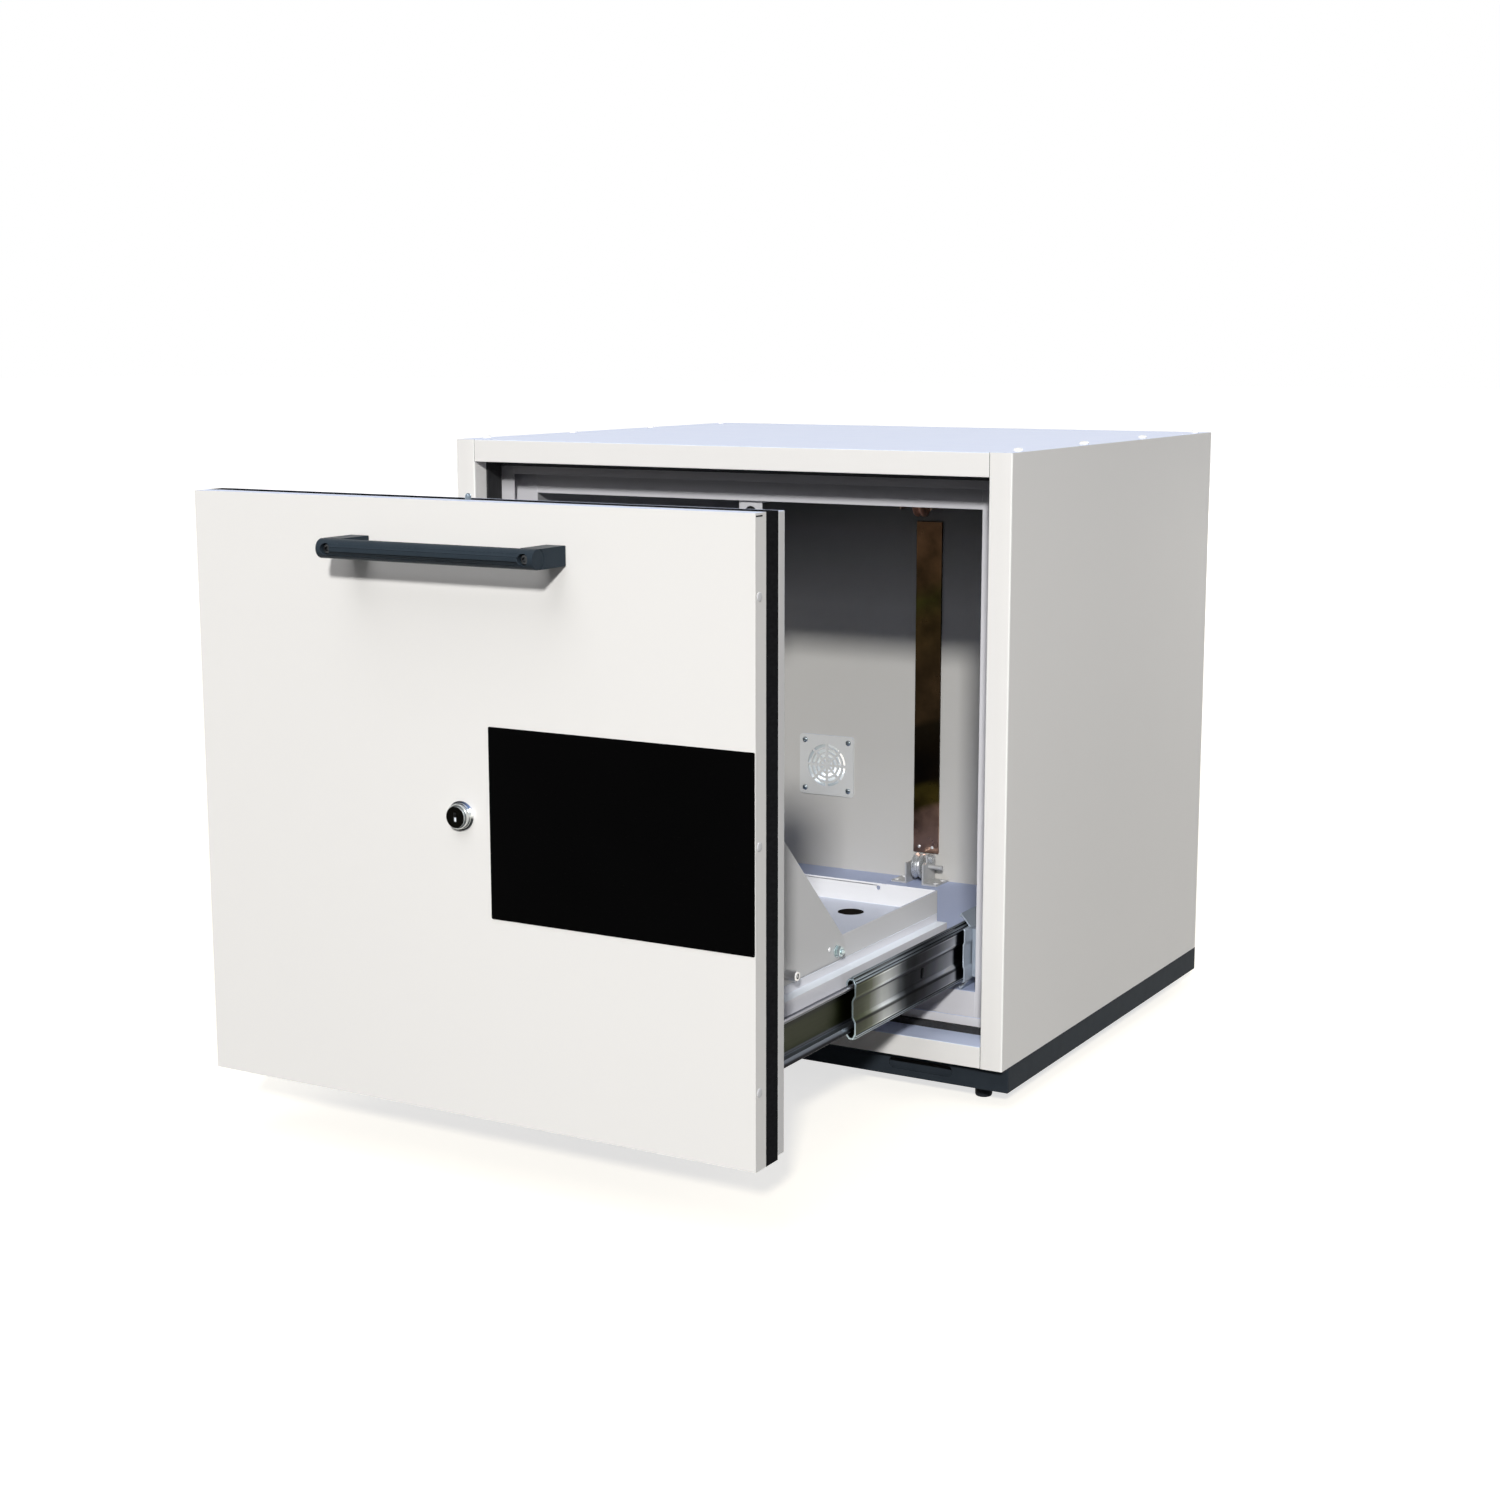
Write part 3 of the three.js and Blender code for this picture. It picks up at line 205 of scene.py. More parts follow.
floor_finish = Finish("pale_floor", Roughness=0.9)
floor_seen = seen_directly(floor_finish)
floor_bounce = (0.12, 0.12, 0.12)
floor_tint = (0.6, 0.55, 0.45)
floor_finish.set("Base Color", floor_finish.mix(floor_seen, floor_bounce, floor_tint))
length = {"operation": "LENGTH"}
away = floor_finish.node("ShaderNodeVectorMath", length, {0: floor_finish.place()}, out="Value")
fade_start = 1.2
fade_length = 2.5
far = floor_finish.clamp((away - fade_start) / fade_length)
glow = floor_finish.mix(far, (0.7, 0.7, 0.7), (1, 1, 1))
floor_finish.set("Emission Color", floor_finish.mix(floor_seen, (0, 0, 0), glow))
floor_finish.shader.inputs["Emission Strength"].default_value = 1
floor_finish.shader.inputs["Specular IOR Level"].default_value = 0
reach = 30
corners = [(-reach, -reach, 0), (reach, -reach, 0), (reach, reach, 0), (-reach, reach, 0)]
floor_mesh = mesh_of("floor", corners, [(0, 1, 2, 3)])
floor_mesh.materials.append(floor_finish.block)
floor = bpy.data.objects.new("floor", floor_mesh)
bpy.context.scene.collection.objects.link(floor)
floor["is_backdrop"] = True

world = Finish("sky", bpy.data.worlds.new("sky"))
bpy.context.scene.world = world.block
sky = world.tree.nodes["Background"]
above = world.node("ShaderNodeTexCoord", out="Generated")
rise = world.clamp(world.axis(above, "Z"))
horizon_grey = (0.065, 0.063, 0.06)
overhead_grey = (0.2, 0.215, 0.24)
soft = world.mix(rise, horizon_grey, overhead_grey)
world.join(sky.inputs["Color"], world.mix(seen_directly(world), soft, (1, 1, 1)))


def lamp(name, azimuth, elevation, distance, width, power, colour=(1, 1, 1)):
    """A square soft box. Azimuth 0 is straight in front of the cabinet and 90 is at its right."""
    light = bpy.data.lights.new(name, "AREA")
    light.size = width
    light.energy = power
    light.color = colour
    made = bpy.data.objects.new(name, light)
    bpy.context.scene.collection.objects.link(made)
    side, lift = math.radians(azimuth), math.radians(elevation)
    away = Vector((math.sin(side) * math.cos(lift), -math.cos(side) * math.cos(lift), math.sin(lift)))
    aim = Vector((0, -0.1, 0.3))
    made.location = aim + away * distance
    made.rotation_euler = (-away).to_track_quat("-Z", "Y").to_euler()


lamp("key", azimuth=26.95, elevation=24.35, distance=12, width=0.74, power=1160, colour=(1, 1, 0.98))
lamp("above", azimuth=0, elevation=55, distance=9, width=5.6, power=265)
lamp("side", azimuth=80, elevation=45, distance=9, width=5.4, power=60)
lamp("behind", azimuth=181, elevation=14, distance=9, width=2, power=240)
lamp("left", azimuth=248, elevation=14, distance=9, width=5.4, power=130)

# Case boards
# Flat boards with a smooth white face, screwed together. The stiles are the front edges of the side
# boards, so a fine grey joint line shows where each meets the top or the bottom board.


def white(name, colour, roughness, grain=1.0, painted_sky_tint=(0.73, 0.83, 1.1), painted_shade=None):
    """White coated board or sheet: nearly even, with a fine skin and a painted highlight on its rounded
    edges.

    Painted sky tint is a cast of sky light painted on the faces that look up. Painted shade is a level,
    a depth above it and the least share: the piece is painted darker from the level upwards, to that
    share.
    """
    coat = Finish(name, Roughness=roughness, Specular_IOR_Level=0.15)
    cloud_and_painted_shade = 0.985 + coat.noise(2.6, 3) * 0.03
    # Painted shade: darker from a level upwards, as the shade at the top of a recess.
    if painted_shade:
        level, depth, least = painted_shade
        height = coat.axis(coat.place(), "Z")
        cloud_and_painted_shade = cloud_and_painted_shade * (1 - coat.clamp((height - level) / depth) * (1 - least))
    facing = coat.facing()
    right, back, up = (coat.axis(facing, axis) for axis in "XYZ")
    # Painted light: the faces that look up take the painted sky tint, a cast of sky light painted into the
    # colour.
    upward = coat.clamp(up)
    # Painted highlight: faces that turn between front, side and top, on the rounded edges, are painted
    # lighter.
    edge_highlight_gain = 0.32
    brightest = 0.97
    edge_highlight = up.maths("ABSOLUTE", right * back) + up.maths("ABSOLUTE", back * up)
    light = cloud_and_painted_shade * (1 + edge_highlight * edge_highlight_gain)
    parts = {}
    for i, (part, tint) in enumerate(zip(colour, painted_sky_tint)):
        parts[i] = up.maths("MINIMUM", light * part * (1 + upward * (tint - 1)), brightest)
    coat.set("Base Color", coat.node("ShaderNodeCombineColor", {}, parts))
    coat.set("Roughness", roughness - 0.04 + coat.noise(38, 2) * 0.08)
    skin = coat.noise(900, 1) * 0.5 + coat.noise(160, 1)
    coat.bump(skin, 0.00003 * grain, 0.6)
    return coat


def dress(names, finish, edge, angle=40):
    """Gives CAD nodes their finish and takes the sharpness off their edges."""
    for name in names:
        node = nodes[name]
        for layer in ("custom_normal", "sharp_edge", "sharp_face"):
            if layer in node.data.attributes:
                node.data.attributes.remove(node.data.attributes[layer])
        for face in node.data.polygons:
            face.use_smooth = True
        for held in node.material_slots:
            held.material = finish.block
        weld = node.modifiers.new("weld", "WELD")
        weld.merge_threshold = 0.000002
        bevel = node.modifiers.new("edges", "BEVEL")
        bevel.width = edge
        bevel.segments = 2
        bevel.limit_method = "ANGLE"
        bevel.angle_limit = math.radians(angle)
        bevel.harden_normals = True
        bevel.miter_outer = "MITER_ARC"


board_white = white("board_white", (0.86, 0.84, 0.82), roughness=0.3)
panels = ["side_panel_left", "side_panel_right", "top_panel", "bottom_panel", "rear_panel"]
dress(panels, board_white, edge=0.0007)


def block(name, low, high):
    """A plain box between two corners."""
    points = [(x, y, z) for z in (low[2], high[2]) for y in (low[1], high[1]) for x in (low[0], high[0])]
    faces = [(0, 2, 3, 1), (4, 5, 7, 6), (0, 1, 5, 4), (2, 6, 7, 3), (0, 4, 6, 2), (1, 3, 7, 5)]
    return mesh_of(name, points, faces)


seam_grey = Finish("seam_grey", Roughness=0.9)
seam_grey.set("Base Color", seam_grey.mix(seam_grey.noise(300, 2), (0.2, 0.2, 0.2), (0.32, 0.32, 0.31)))
seam_half = 0.0003
seam_front = 0.0002
seam_rear = 0.0009
for rail in ("top", "bottom"):
    low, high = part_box(f"{rail}_panel")
    for side, joint in (("left", low.x), ("right", high.x)):
        seam_low = (joint - seam_half, low.y + seam_front, low.z)
        seam_high = (joint + seam_half, low.y + seam_rear, high.z)
        piece(f"seam_{rail}_{side}", block("seam", seam_low, seam_high), seam_grey, "case")

# Screw caps
# Domed white plastic caps, pressed in over the heads of the screws. There are four along the top of
# each side board.


def lathe(name, profile, sides=32):
    """A closed turned mesh about Z from (radius, height) pairs that start and end on the axis."""
    points, faces = [], []
    rings = []
    for radius, height in profile:
        if radius == 0:
            rings.append([len(points)])
            points.append((0, 0, height))
        else:
            rings.append(list(range(len(points), len(points) + sides)))
            for i in range(sides):
                angle = i * math.tau / sides
                points.append((radius * math.cos(angle), radius * math.sin(angle), height))
    for lower, upper in zip(rings, rings[1:]):
        for i in range(sides):
            j = (i + 1) % sides
            around = ((lower, i), (lower, j), (upper, j), (upper, i))
            corners = [ring[place % len(ring)] for ring, place in around]
            faces.append(list(dict.fromkeys(corners)))
    return mesh_of(name, points, faces)


def smooth(mesh, angle=35):
    """Smooth shading that keeps an edge where the faces turn by more than the angle."""
    for face in mesh.polygons:
        face.use_smooth = True
    mesh.set_sharp_from_angle(angle=math.radians(angle))
    return mesh


def dome(name, radius, height, skirt):
    """A low domed head on an upright skirt, with its flat underside at nought."""
    steps = 6
    turns = [i / steps * math.pi / 2 for i in range(steps + 1)]
    curve = [(radius * math.cos(turn), skirt + (height - skirt) * math.sin(turn)) for turn in turns]
    curve[-1] = (0, height)
    return smooth(lathe(name, [(0, 0), (radius, 0), *curve]))


case_low, case_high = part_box("side_panel_right")
cap_finish = Finish("cap_white", Roughness=0.3)
cap_cloud = cap_finish.noise(400, 2)
cap_finish.set("Base Color", cap_finish.mix(cap_cloud, (0.9, 0.89, 0.88), (0.94, 0.93, 0.92)))
cap_mesh = dome("screw_cap", radius=0.0043, height=0.003, skirt=0.0012)
cap_inset = 0.011
cap_places = (0.037, 0.1903, 0.3436, 0.497)
sides = (("left", -1), ("right", 1))
for side, way in sides:
    for number, back in enumerate(cap_places, 1):
        spot = (way * (case_high.x - cap_inset), case_low.y + back, case_high.z)
        piece(f"screw_cap_{side}_{number}", cap_mesh, cap_finish, "case", spot)

# Lining of the cavity
# Light grey coated sheet round the inside of the cavity, over fire boards of a chalky mineral that
# fill the walls between the lining and the case boards. Painted shade darkens the side walls, the
# ceiling and the top of the back wall.

liner_grey = white("liner_grey", (0.64, 0.64, 0.68), roughness=0.42, grain=2.0)
dress(["liner_floor"], liner_grey, edge=0.0003)
# Painted shade: the back wall is painted darker from 0.4 m upwards over 0.115 m, to 0.26 of its colour,
# for the shade at the top of the cavity.
rear_shade = (0.4, 0.115, 0.26)
back_grey = white("back_grey", (0.575, 0.56, 0.535), roughness=0.42, grain=2.0, painted_shade=rear_shade)
dress(["liner_back"], back_grey, edge=0.0003)
# Painted shade: the side walls and ceiling are the same lining, coloured a darker grey for the shade
# inside the cavity.
shaded_wall_grey = white("shaded_wall_grey", (0.32, 0.32, 0.325), roughness=0.42, grain=2.0)
dress(["liner_left", "liner_right", "liner_ceiling"], shaded_wall_grey, edge=0.0003)

board_finish = Finish("mineral_board", Roughness=0.95)
chips = board_finish.noise(260, 4)
board_finish.set("Base Color", board_finish.mix(chips, (0.5, 0.48, 0.43), (0.72, 0.7, 0.64)))
board_finish.bump(chips, 0.0003)
walls = ["left", "right", "bottom", "top", "rear"]
dress([f"fire_board_{wall}" for wall in walls], board_finish, edge=0.0004)

# Rebate and seals
# Folded white sheets make the stop for the drawer front, coloured grey and darkened at the top as
# painted shade. Black strips that swell in a fire lie in front of the stop all round.

# Painted shade: the rebate is a darker grey than the white sheet elsewhere, and is painted darker still
# from 0.5465 m upwards, in the shade of the top board.
top_shade = (0.5465, 0.014, 0.5)
rebate_white = white("rebate_white", (0.65, 0.64, 0.67), roughness=0.4, painted_shade=top_shade)
dress(["rebate_left", "rebate_right", "rebate_bottom", "rebate_top"], rebate_white, edge=0.0004)

seal_black = Finish("seal_black", Roughness=0.75, Specular_IOR_Level=0.15)
fibre = seal_black.noise(500, 3, (1, 1, 0.15))
seal_black.set("Base Color", seal_black.mix(fibre, (0.02, 0.02, 0.021), (0.042, 0.042, 0.045)))
seal_black.bump(fibre, 0.0001)
dress(["rebate_seal"], seal_black, edge=0.0004)

# Plinth and feet
# Folded rails with an anthracite powder coat, the front one with two long slots. A strip stands
# behind the lower half of each slot. The round plastic feet turn on spindles.


def powder(name, dark, light, roughness):
    """Fine-textured powder coat in a dark colour."""
    coat = Finish(name, Roughness=roughness, Specular_IOR_Level=0.03)
    grit = coat.noise(1400, 2)
    coat.set("Base Color", coat.mix(coat.noise(60, 3), dark, light))
    coat.set("Roughness", roughness - 0.06 + grit * 0.12)
    coat.bump(grit, 0.00006, 0.7)
    return coat


anthracite = powder("anthracite_coat", (0.022, 0.028, 0.036), (0.034, 0.042, 0.052), roughness=0.5)
dress(["plinth_front", "plinth_rear", "plinth_left", "plinth_right"], anthracite, edge=0.0006)
rail_low, rail_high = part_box("plinth_front")
slot_middle = (rail_low.z + rail_high.z) / 2
slot_across = 0.211
lip_half = 0.034
lip_front = rail_low.y + 0.0035
lip_rear = rail_low.y + 0.0045
lip_foot = rail_low.z + 0.004
lip_top = slot_middle + 0.0004
for side, way in sides:
    centre = way * slot_across
    lip_low = (centre - lip_half, lip_front, lip_foot)
    lip_high = (centre + lip_half, lip_rear, lip_top)
    piece(f"plinth_slot_lip_{side}", block("slot_lip", lip_low, lip_high), anthracite, "case")
foot_black = powder("foot_plastic", (0.02, 0.022, 0.028), (0.04, 0.043, 0.05), roughness=0.45)
corners = ["front_left", "front_right", "rear_left", "rear_right"]
dress([f"levelling_foot_{corner}" for corner in corners], foot_black, edge=0.0003, angle=50)

# Extract grille and duct
# A thin coated plate with four rings of slots, held by four small screws, and the zinc-plated
# collar and spigot behind the cabinet.


def metal(name, dark, light, roughness, stretch=(1, 1, 1), scale=60, metallic=1):
    """Plated or polished metal, with marks drawn out along the direction it was rolled in."""
    coat = Finish(name, Metallic=metallic, Roughness=roughness)
    drawn = coat.noise(scale, 4, stretch)
    coat.set("Base Color", coat.mix(drawn, dark, light))
    coat.set("Roughness", roughness - 0.05 + coat.noise(scale * 4, 3, stretch) * 0.1)
    coat.bump(coat.noise(scale * 6, 2, stretch), 0.00002, 0.5)
    return coat


def cut_cross(mesh, radius, top, depth):
    """Cuts a cross recess into the top of a head."""
    head = bpy.data.objects.new("head", mesh)
    bpy.context.scene.collection.objects.link(head)
    long, thin = radius * 0.55, radius * 0.13
    for number, (x, y) in enumerate(((long, thin), (thin, long))):
        shape = block(f"tool_{number}", (-x, -y, top - depth), (x, y, top + depth))
        tool = bpy.data.objects.new("tool", shape)
        bpy.context.scene.collection.objects.link(tool)
        cut = head.modifiers.new("cut", "BOOLEAN")
        cut.object = tool
        cut.solver = "EXACT"
        bpy.context.view_layer.update()
        result = head.evaluated_get(bpy.context.evaluated_depsgraph_get())
        cut_mesh = bpy.data.meshes.new_from_object(result)
        head.modifiers.clear()
        head.data = cut_mesh
        bpy.data.objects.remove(tool)
    cut_mesh = head.data
    bpy.data.objects.remove(head)
    return smooth(cut_mesh)


drawn_out = (1, 0.05, 1)
zinc = metal("zinc_plate", (0.42, 0.47, 0.5), (0.66, 0.7, 0.72), 0.3, stretch=drawn_out, scale=90)
grille_grey = white("grille_grey", (0.66, 0.66, 0.65), roughness=0.4)
dress(["vent_grille"], grille_grey, edge=0.0002, angle=60)
dress(["exhaust_spigot"], zinc, edge=0.0004)
screw_steel = metal("screw_steel", (0.3, 0.36, 0.4), (0.62, 0.68, 0.72), 0.22, scale=300)
screw_radius = 0.0032
screw_top = 0.0018
screw_head = dome("pan_screw", screw_radius, screw_top, skirt=0.0005)
screw_mesh = cut_cross(screw_head, screw_radius, screw_top, depth=0.001)
grille_low, grille_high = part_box("vent_grille")
to_front = Matrix.Rotation(math.radians(90), 4, "X")
middle = (grille_low + grille_high) / 2
screw_reach = 0.028
for number, (right, up) in enumerate(((-1, -1), (1, -1), (1, 1), (-1, 1)), 1):
    spot = (middle.x + right * screw_reach, grille_low.y, middle.z + up * screw_reach)
    piece(f"grille_screw_{number}", screw_mesh, screw_steel, "case", spot, to_front)

# Cover strip
# A narrow brown strip, polished like a mirror, riveted flat to the back wall. It runs up from the
# lower rope pulley towards the upper one. Its colour is banded with painted reflections.

bronze = Finish("brown_polish", Metallic=1, Roughness=0.12)
spot = bronze.place()
across, height = (bronze.axis(spot, axis) for axis in "XZ")
strip_low, strip_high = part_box("cover_strip")
share = (height - strip_low.z) / (strip_high.z - strip_low.z)
# Painted reflections: slanted, rippled bands of colour up the strip, over its own brown; random patches
# darken it.
reflection_share = share + (bronze.noise(9, 3) - 0.5) * 0.05 - across * 0.85
reflection_bands = [
    (0.0, (0.42, 0.26, 0.2)),
    (0.13, (0.36, 0.22, 0.16)),
    (0.15, (0.09, 0.066, 0.014)),
    (0.2, (0.075, 0.058, 0.012)),
    (0.22, (0.005, 0.004, 0.004)),
    (0.32, (0.006, 0.005, 0.004)),
    (0.39, (0.012, 0.01, 0.007)),
    (0.41, (0.05, 0.031, 0.016)),
    (0.55, (0.036, 0.022, 0.011)),
    (0.7, (0.05, 0.032, 0.012)),
    (0.76, (0.034, 0.034, 0.008)),
    (0.82, (0.06, 0.034, 0.016)),
    (1.0, (0.08, 0.042, 0.023)),
]
painted_reflection = bronze.tone(reflection_share, reflection_bands)
patches = bronze.node("ShaderNodeMapRange", {}, {0: bronze.noise(32, 4), 1: 0.35, 2: 0.7})
bronze.set("Base Color", bronze.mix(patches * 0.75, painted_reflection, (0.012, 0.008, 0.004)))
bronze.set("Roughness", 0.24 + bronze.noise(60, 3) * 0.1)
dress(["cover_strip"], bronze, edge=0.0003)
bright = metal("bright_zinc", (0.8, 0.8, 0.82), (0.92, 0.92, 0.94), 0.2, scale=120, metallic=0.3)
rivet_mesh = dome("rivet", radius=0.0018, height=0.0009, skirt=0.0002)
rivet_reach = 0.008
rivet_height = 0.0065
for number, right in enumerate((-rivet_reach, rivet_reach), 1):
    spot = ((strip_low.x + strip_high.x) / 2 + right, strip_low.y, strip_low.z + rivet_height)
    piece(f"strip_rivet_{number}", rivet_mesh, bright, "case", spot, to_front)

# Rope pulleys
# Polished wheels on pins between zinc-plated angle brackets on the floor, and in a fork under the
# ceiling. Rivets hold the feet of the brackets. The fork is painted dark as shade under the ceiling,
# and the upper wheel carries a painted coppery reflection.

bracket_grey = metal("bracket_zinc", (0.46, 0.46, 0.46), (0.58, 0.58, 0.58), 0.45, scale=140, metallic=0.3)
dress(["pulley_bracket_left", "pulley_bracket_right"], bracket_grey, edge=0.0003)
# Painted shade: the fork is coloured dark brown for the shade under the ceiling, with a coppery cast for
# what it reflects.
fork_painted_shade = metal("fork_steel", (0.2, 0.15, 0.12), (0.5, 0.36, 0.27), 0.35, scale=140, metallic=0.6)
dress(["upper_pulley_fork"], fork_painted_shade, edge=0.0003)
wheel_steel = metal("wheel_steel", (0.5, 0.51, 0.52), (0.68, 0.69, 0.7), 0.28, scale=200, metallic=0.6)
dress(["rope_pulley_lower", "guide_roller"], wheel_steel, edge=0.0003, angle=60)
# Painted reflection: the upper wheel is polished steel, coloured coppery for the coppery light it
# reflects.
copper_reflection = metal("wheel_copper_reflection", (0.35, 0.16, 0.09), (1.0, 0.55, 0.36), 0.3, scale=90, metallic=0.5)
dress(["rope_pulley_upper"], copper_reflection, edge=0.0003, angle=60)
bracket_low, bracket_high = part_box("pulley_bracket_left")
bracket_sheet = 0.002
foot_rivet = dome("foot_rivet", radius=0.0028, height=0.0012, skirt=0.0003)
feet_across = (-0.0243, 0.0237)
rivets_back = (0.0062, 0.0242)
number = 0
for right in feet_across:
    for back in rivets_back:
        number += 1
        spot = (right, bracket_low.y + back, bracket_low.z + bracket_sheet)
        piece(f"bracket_rivet_{number}", foot_rivet, bright, "case", spot)

# Catch bracket
# A folded sheet in the same coat as the rebate, painted shade and all, fixed under the ceiling just
# behind the front. Its drop has a round hole.

dress(["catch_bracket"], rebate_white, edge=0.0004)

# Ball slides
# Cold-rolled zinc-plated steel. The outer member is fixed to the lining, the middle one carries the
# balls, and the inner one is fixed to the carriage. The middle and inner members and the ball races
# carry painted highlights, shade and reflections.

slide_dark = (0.3, 0.35, 0.42)
slide_light = (0.42, 0.47, 0.54)
slide_zinc = metal("slide_zinc", slide_dark, slide_light, 0.4, stretch=drawn_out, scale=90, metallic=0.4)
dress(["slide_outer_left", "slide_outer_right"], slide_zinc, edge=0.0003, angle=20)
dress(["slide_mount_left", "slide_mount_right"], slide_zinc, edge=0.0003, angle=20)
middle_low, middle_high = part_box("slide_middle_right")
inner_low, inner_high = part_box("slide_inner_right")


def rolled(name, low, high, lines, reflections_along):
    """Rolled steel with painted light: lines across the height are painted highlights and shade at the
    bends, painted reflections run along the length, and the cut ends are lighter.
    """
    coat = Finish(name, Metallic=1)
    spot = coat.place()
    along, up = (coat.axis(spot, axis) for axis in "YZ")
    drawn = coat.noise(900, 3, (1, 0.01, 1))
    height = (up - low.z) / (high.z - low.z) + (drawn - 0.5) * 0.006
    reach = (along - low.y) / (high.y - low.y) + (coat.noise(40, 2) - 0.5) * 0.02
    # Painted highlights and shade across the height, and painted reflections along the length.
    line = coat.tone(height, lines)
    tone = coat.tone(reach, reflections_along)
    web = coat.node("ShaderNodeVectorMath", {"operation": "MULTIPLY"}, {0: line, 1: tone})
    end = coat.axis(coat.facing(), "Y")
    cut = coat.clamp(0 - end * 2 - 1 - reach * 20)
    coat.set("Base Color", coat.mix(cut, web, (0.5, 0.6, 0.64)))
    coat.set("Roughness", 0.4 + coat.noise(700, 2, (1, 0.02, 1)) * 0.1)
    coat.bump(drawn, 0.00002, 0.5)
    return coat


# Painted highlights and shade at the bends of the middle member, then painted reflections along it, ending
# in a painted shadow where it enters the outer member.
middle_highlight_greys = [
    (0.0, 0.3), (0.09, 0.1), (0.11, 1.3), (0.125, 0.1), (0.15, 0.12), (0.16, 1.8),
    (0.175, 1.0), (0.295, 0.8), (0.306, 0.15), (0.33, 0.2), (0.35, 1.9), (0.385, 1.5),
    (0.395, 0.95), (0.605, 0.8), (0.614, 0.15), (0.64, 0.2), (0.66, 1.9), (0.685, 1.6),
    (0.7, 1.0), (0.81, 0.9), (0.824, 1.9), (0.836, 0.08), (0.86, 0.5), (1.0, 0.8),
]
middle_highlight_lines = [(at, (grey,) * 3) for at, grey in middle_highlight_greys]
middle_reflection_tones = [
    (0.01, (0.03, 0.034, 0.018)),
    (0.045, (0.05, 0.056, 0.035)),
    (0.075, (0.1, 0.108, 0.078)),
    (0.105, (0.26, 0.275, 0.26)),
    (0.135, (0.46, 0.48, 0.485)),
    (0.165, (0.44, 0.46, 0.47)),
    (0.195, (0.3, 0.32, 0.335)),
    (0.226, (0.1, 0.11, 0.12)),
    (0.257, (0.017, 0.019, 0.022)),
    (0.29, (0.014, 0.015, 0.018)),
    (0.345, (0.06, 0.062, 0.07)),
    (0.41, (0.24, 0.25, 0.28)),
    (0.47, (0.62, 0.64, 0.68)),
    (0.505, (0.95, 0.97, 1.0)),
    (0.52, (0.008, 0.009, 0.011)),
    (1.0, (0.12, 0.125, 0.135)),
]
middle_steel = rolled("middle_member_steel", middle_low, middle_high, middle_highlight_lines, middle_reflection_tones)
dress(["slide_middle_left", "slide_middle_right"], middle_steel, edge=0.0002, angle=20)
# Painted light on the inner member: a dark olive web for what it reflects, lit and shaded lines on its
# lips, and a gentle painted reflection along it.
inner_light_lines = [
    (0.0, (0.01, 0.01, 0.012)),
    (0.06, (0.012, 0.012, 0.014)),
    (0.085, (0.13, 0.145, 0.17)),
    (0.135, (0.2, 0.22, 0.25)),
    (0.15, (0.05, 0.056, 0.064)),
    (0.17, (0.12, 0.13, 0.15)),
    (0.195, (0.09, 0.1, 0.115)),
    (0.21, (0.02, 0.0235, 0.009)),
    (0.68, (0.019, 0.022, 0.0085)),
    (0.72, (0.012, 0.014, 0.008)),
    (0.84, (0.012, 0.013, 0.012)),
    (0.88, (0.3, 0.31, 0.35)),
    (0.92, (0.12, 0.13, 0.15)),
    (0.96, (0.5, 0.5, 0.55)),
    (1.0, (0.5, 0.5, 0.55)),
]
inner_reflection_tones = [(0.0, (0.9, 0.9, 0.9)), (0.5, (1.0, 1.0, 1.0)), (1.0, (1.2, 1.15, 1.3))]
inner_steel = rolled("inner_member_steel", inner_low, inner_high, inner_light_lines, inner_reflection_tones)
dress(["slide_inner_left", "slide_inner_right"], inner_steel, edge=0.0002, angle=20)


def ribbed_strip(name, start, end, ribs, height, near, far):
    """A long strip with ribs on its outer face. Start and end are across and up, near and far along."""
    run = Vector(end) - Vector(start)
    out = Vector((run.y, -run.x)).normalized()
    outline = [Vector(start) - out * 0.0002]
    for rib in range(ribs):
        for share, rise in ((0.0, 0), (0.2, 1), (0.6, 1), (0.8, 0)):
            outline.append(Vector(start) + run * (rib + share) / ribs + out * height * rise)
    outline += [Vector(end), Vector(end) - out * 0.0002]
    count = len(outline)
    points = [(at.x, along, at.y) for along in (near, far) for at in outline]
    faces = [tuple(range(count)), tuple(range(count, 2 * count))[::-1]]
    faces += [(i, i + count, (i + 1) % count + count, (i + 1) % count) for i in range(count)]
    return mesh_of(name, points, faces)


# Painted highlights on the ribs of the ball races with painted shade between them, and painted reflections
# along them.
race_highlight_greys = [
    (0.0, 0.9), (0.099, 1.0), (0.104, 0.06), (0.118, 0.06), (0.122, 1.0), (0.136, 1.0), (0.142, 0.06),
    (0.155, 0.06), (0.845, 0.06), (0.857, 0.06), (0.861, 1.0), (0.872, 1.0), (0.875, 0.06), (0.887, 0.06),
    (0.892, 1.0), (0.906, 1.0), (0.91, 0.06), (0.926, 0.06), (0.93, 1.0), (1.0, 1.0),
]
race_highlight_lines = [(at, (grey,) * 3) for at, grey in race_highlight_greys]
race_reflection_tones = [
    (0.0, (0.34, 0.39, 0.42)),
    (0.2, (0.4, 0.45, 0.5)),
    (0.26, (0.2, 0.23, 0.26)),
    (0.36, (0.11, 0.125, 0.14)),
    (0.46, (0.3, 0.33, 0.36)),
    (0.52, (0.5, 0.55, 0.6)),
    (1.0, (0.3, 0.33, 0.36)),
]
race_steel = rolled("race_steel", middle_low, middle_high, race_highlight_lines, race_reflection_tones)
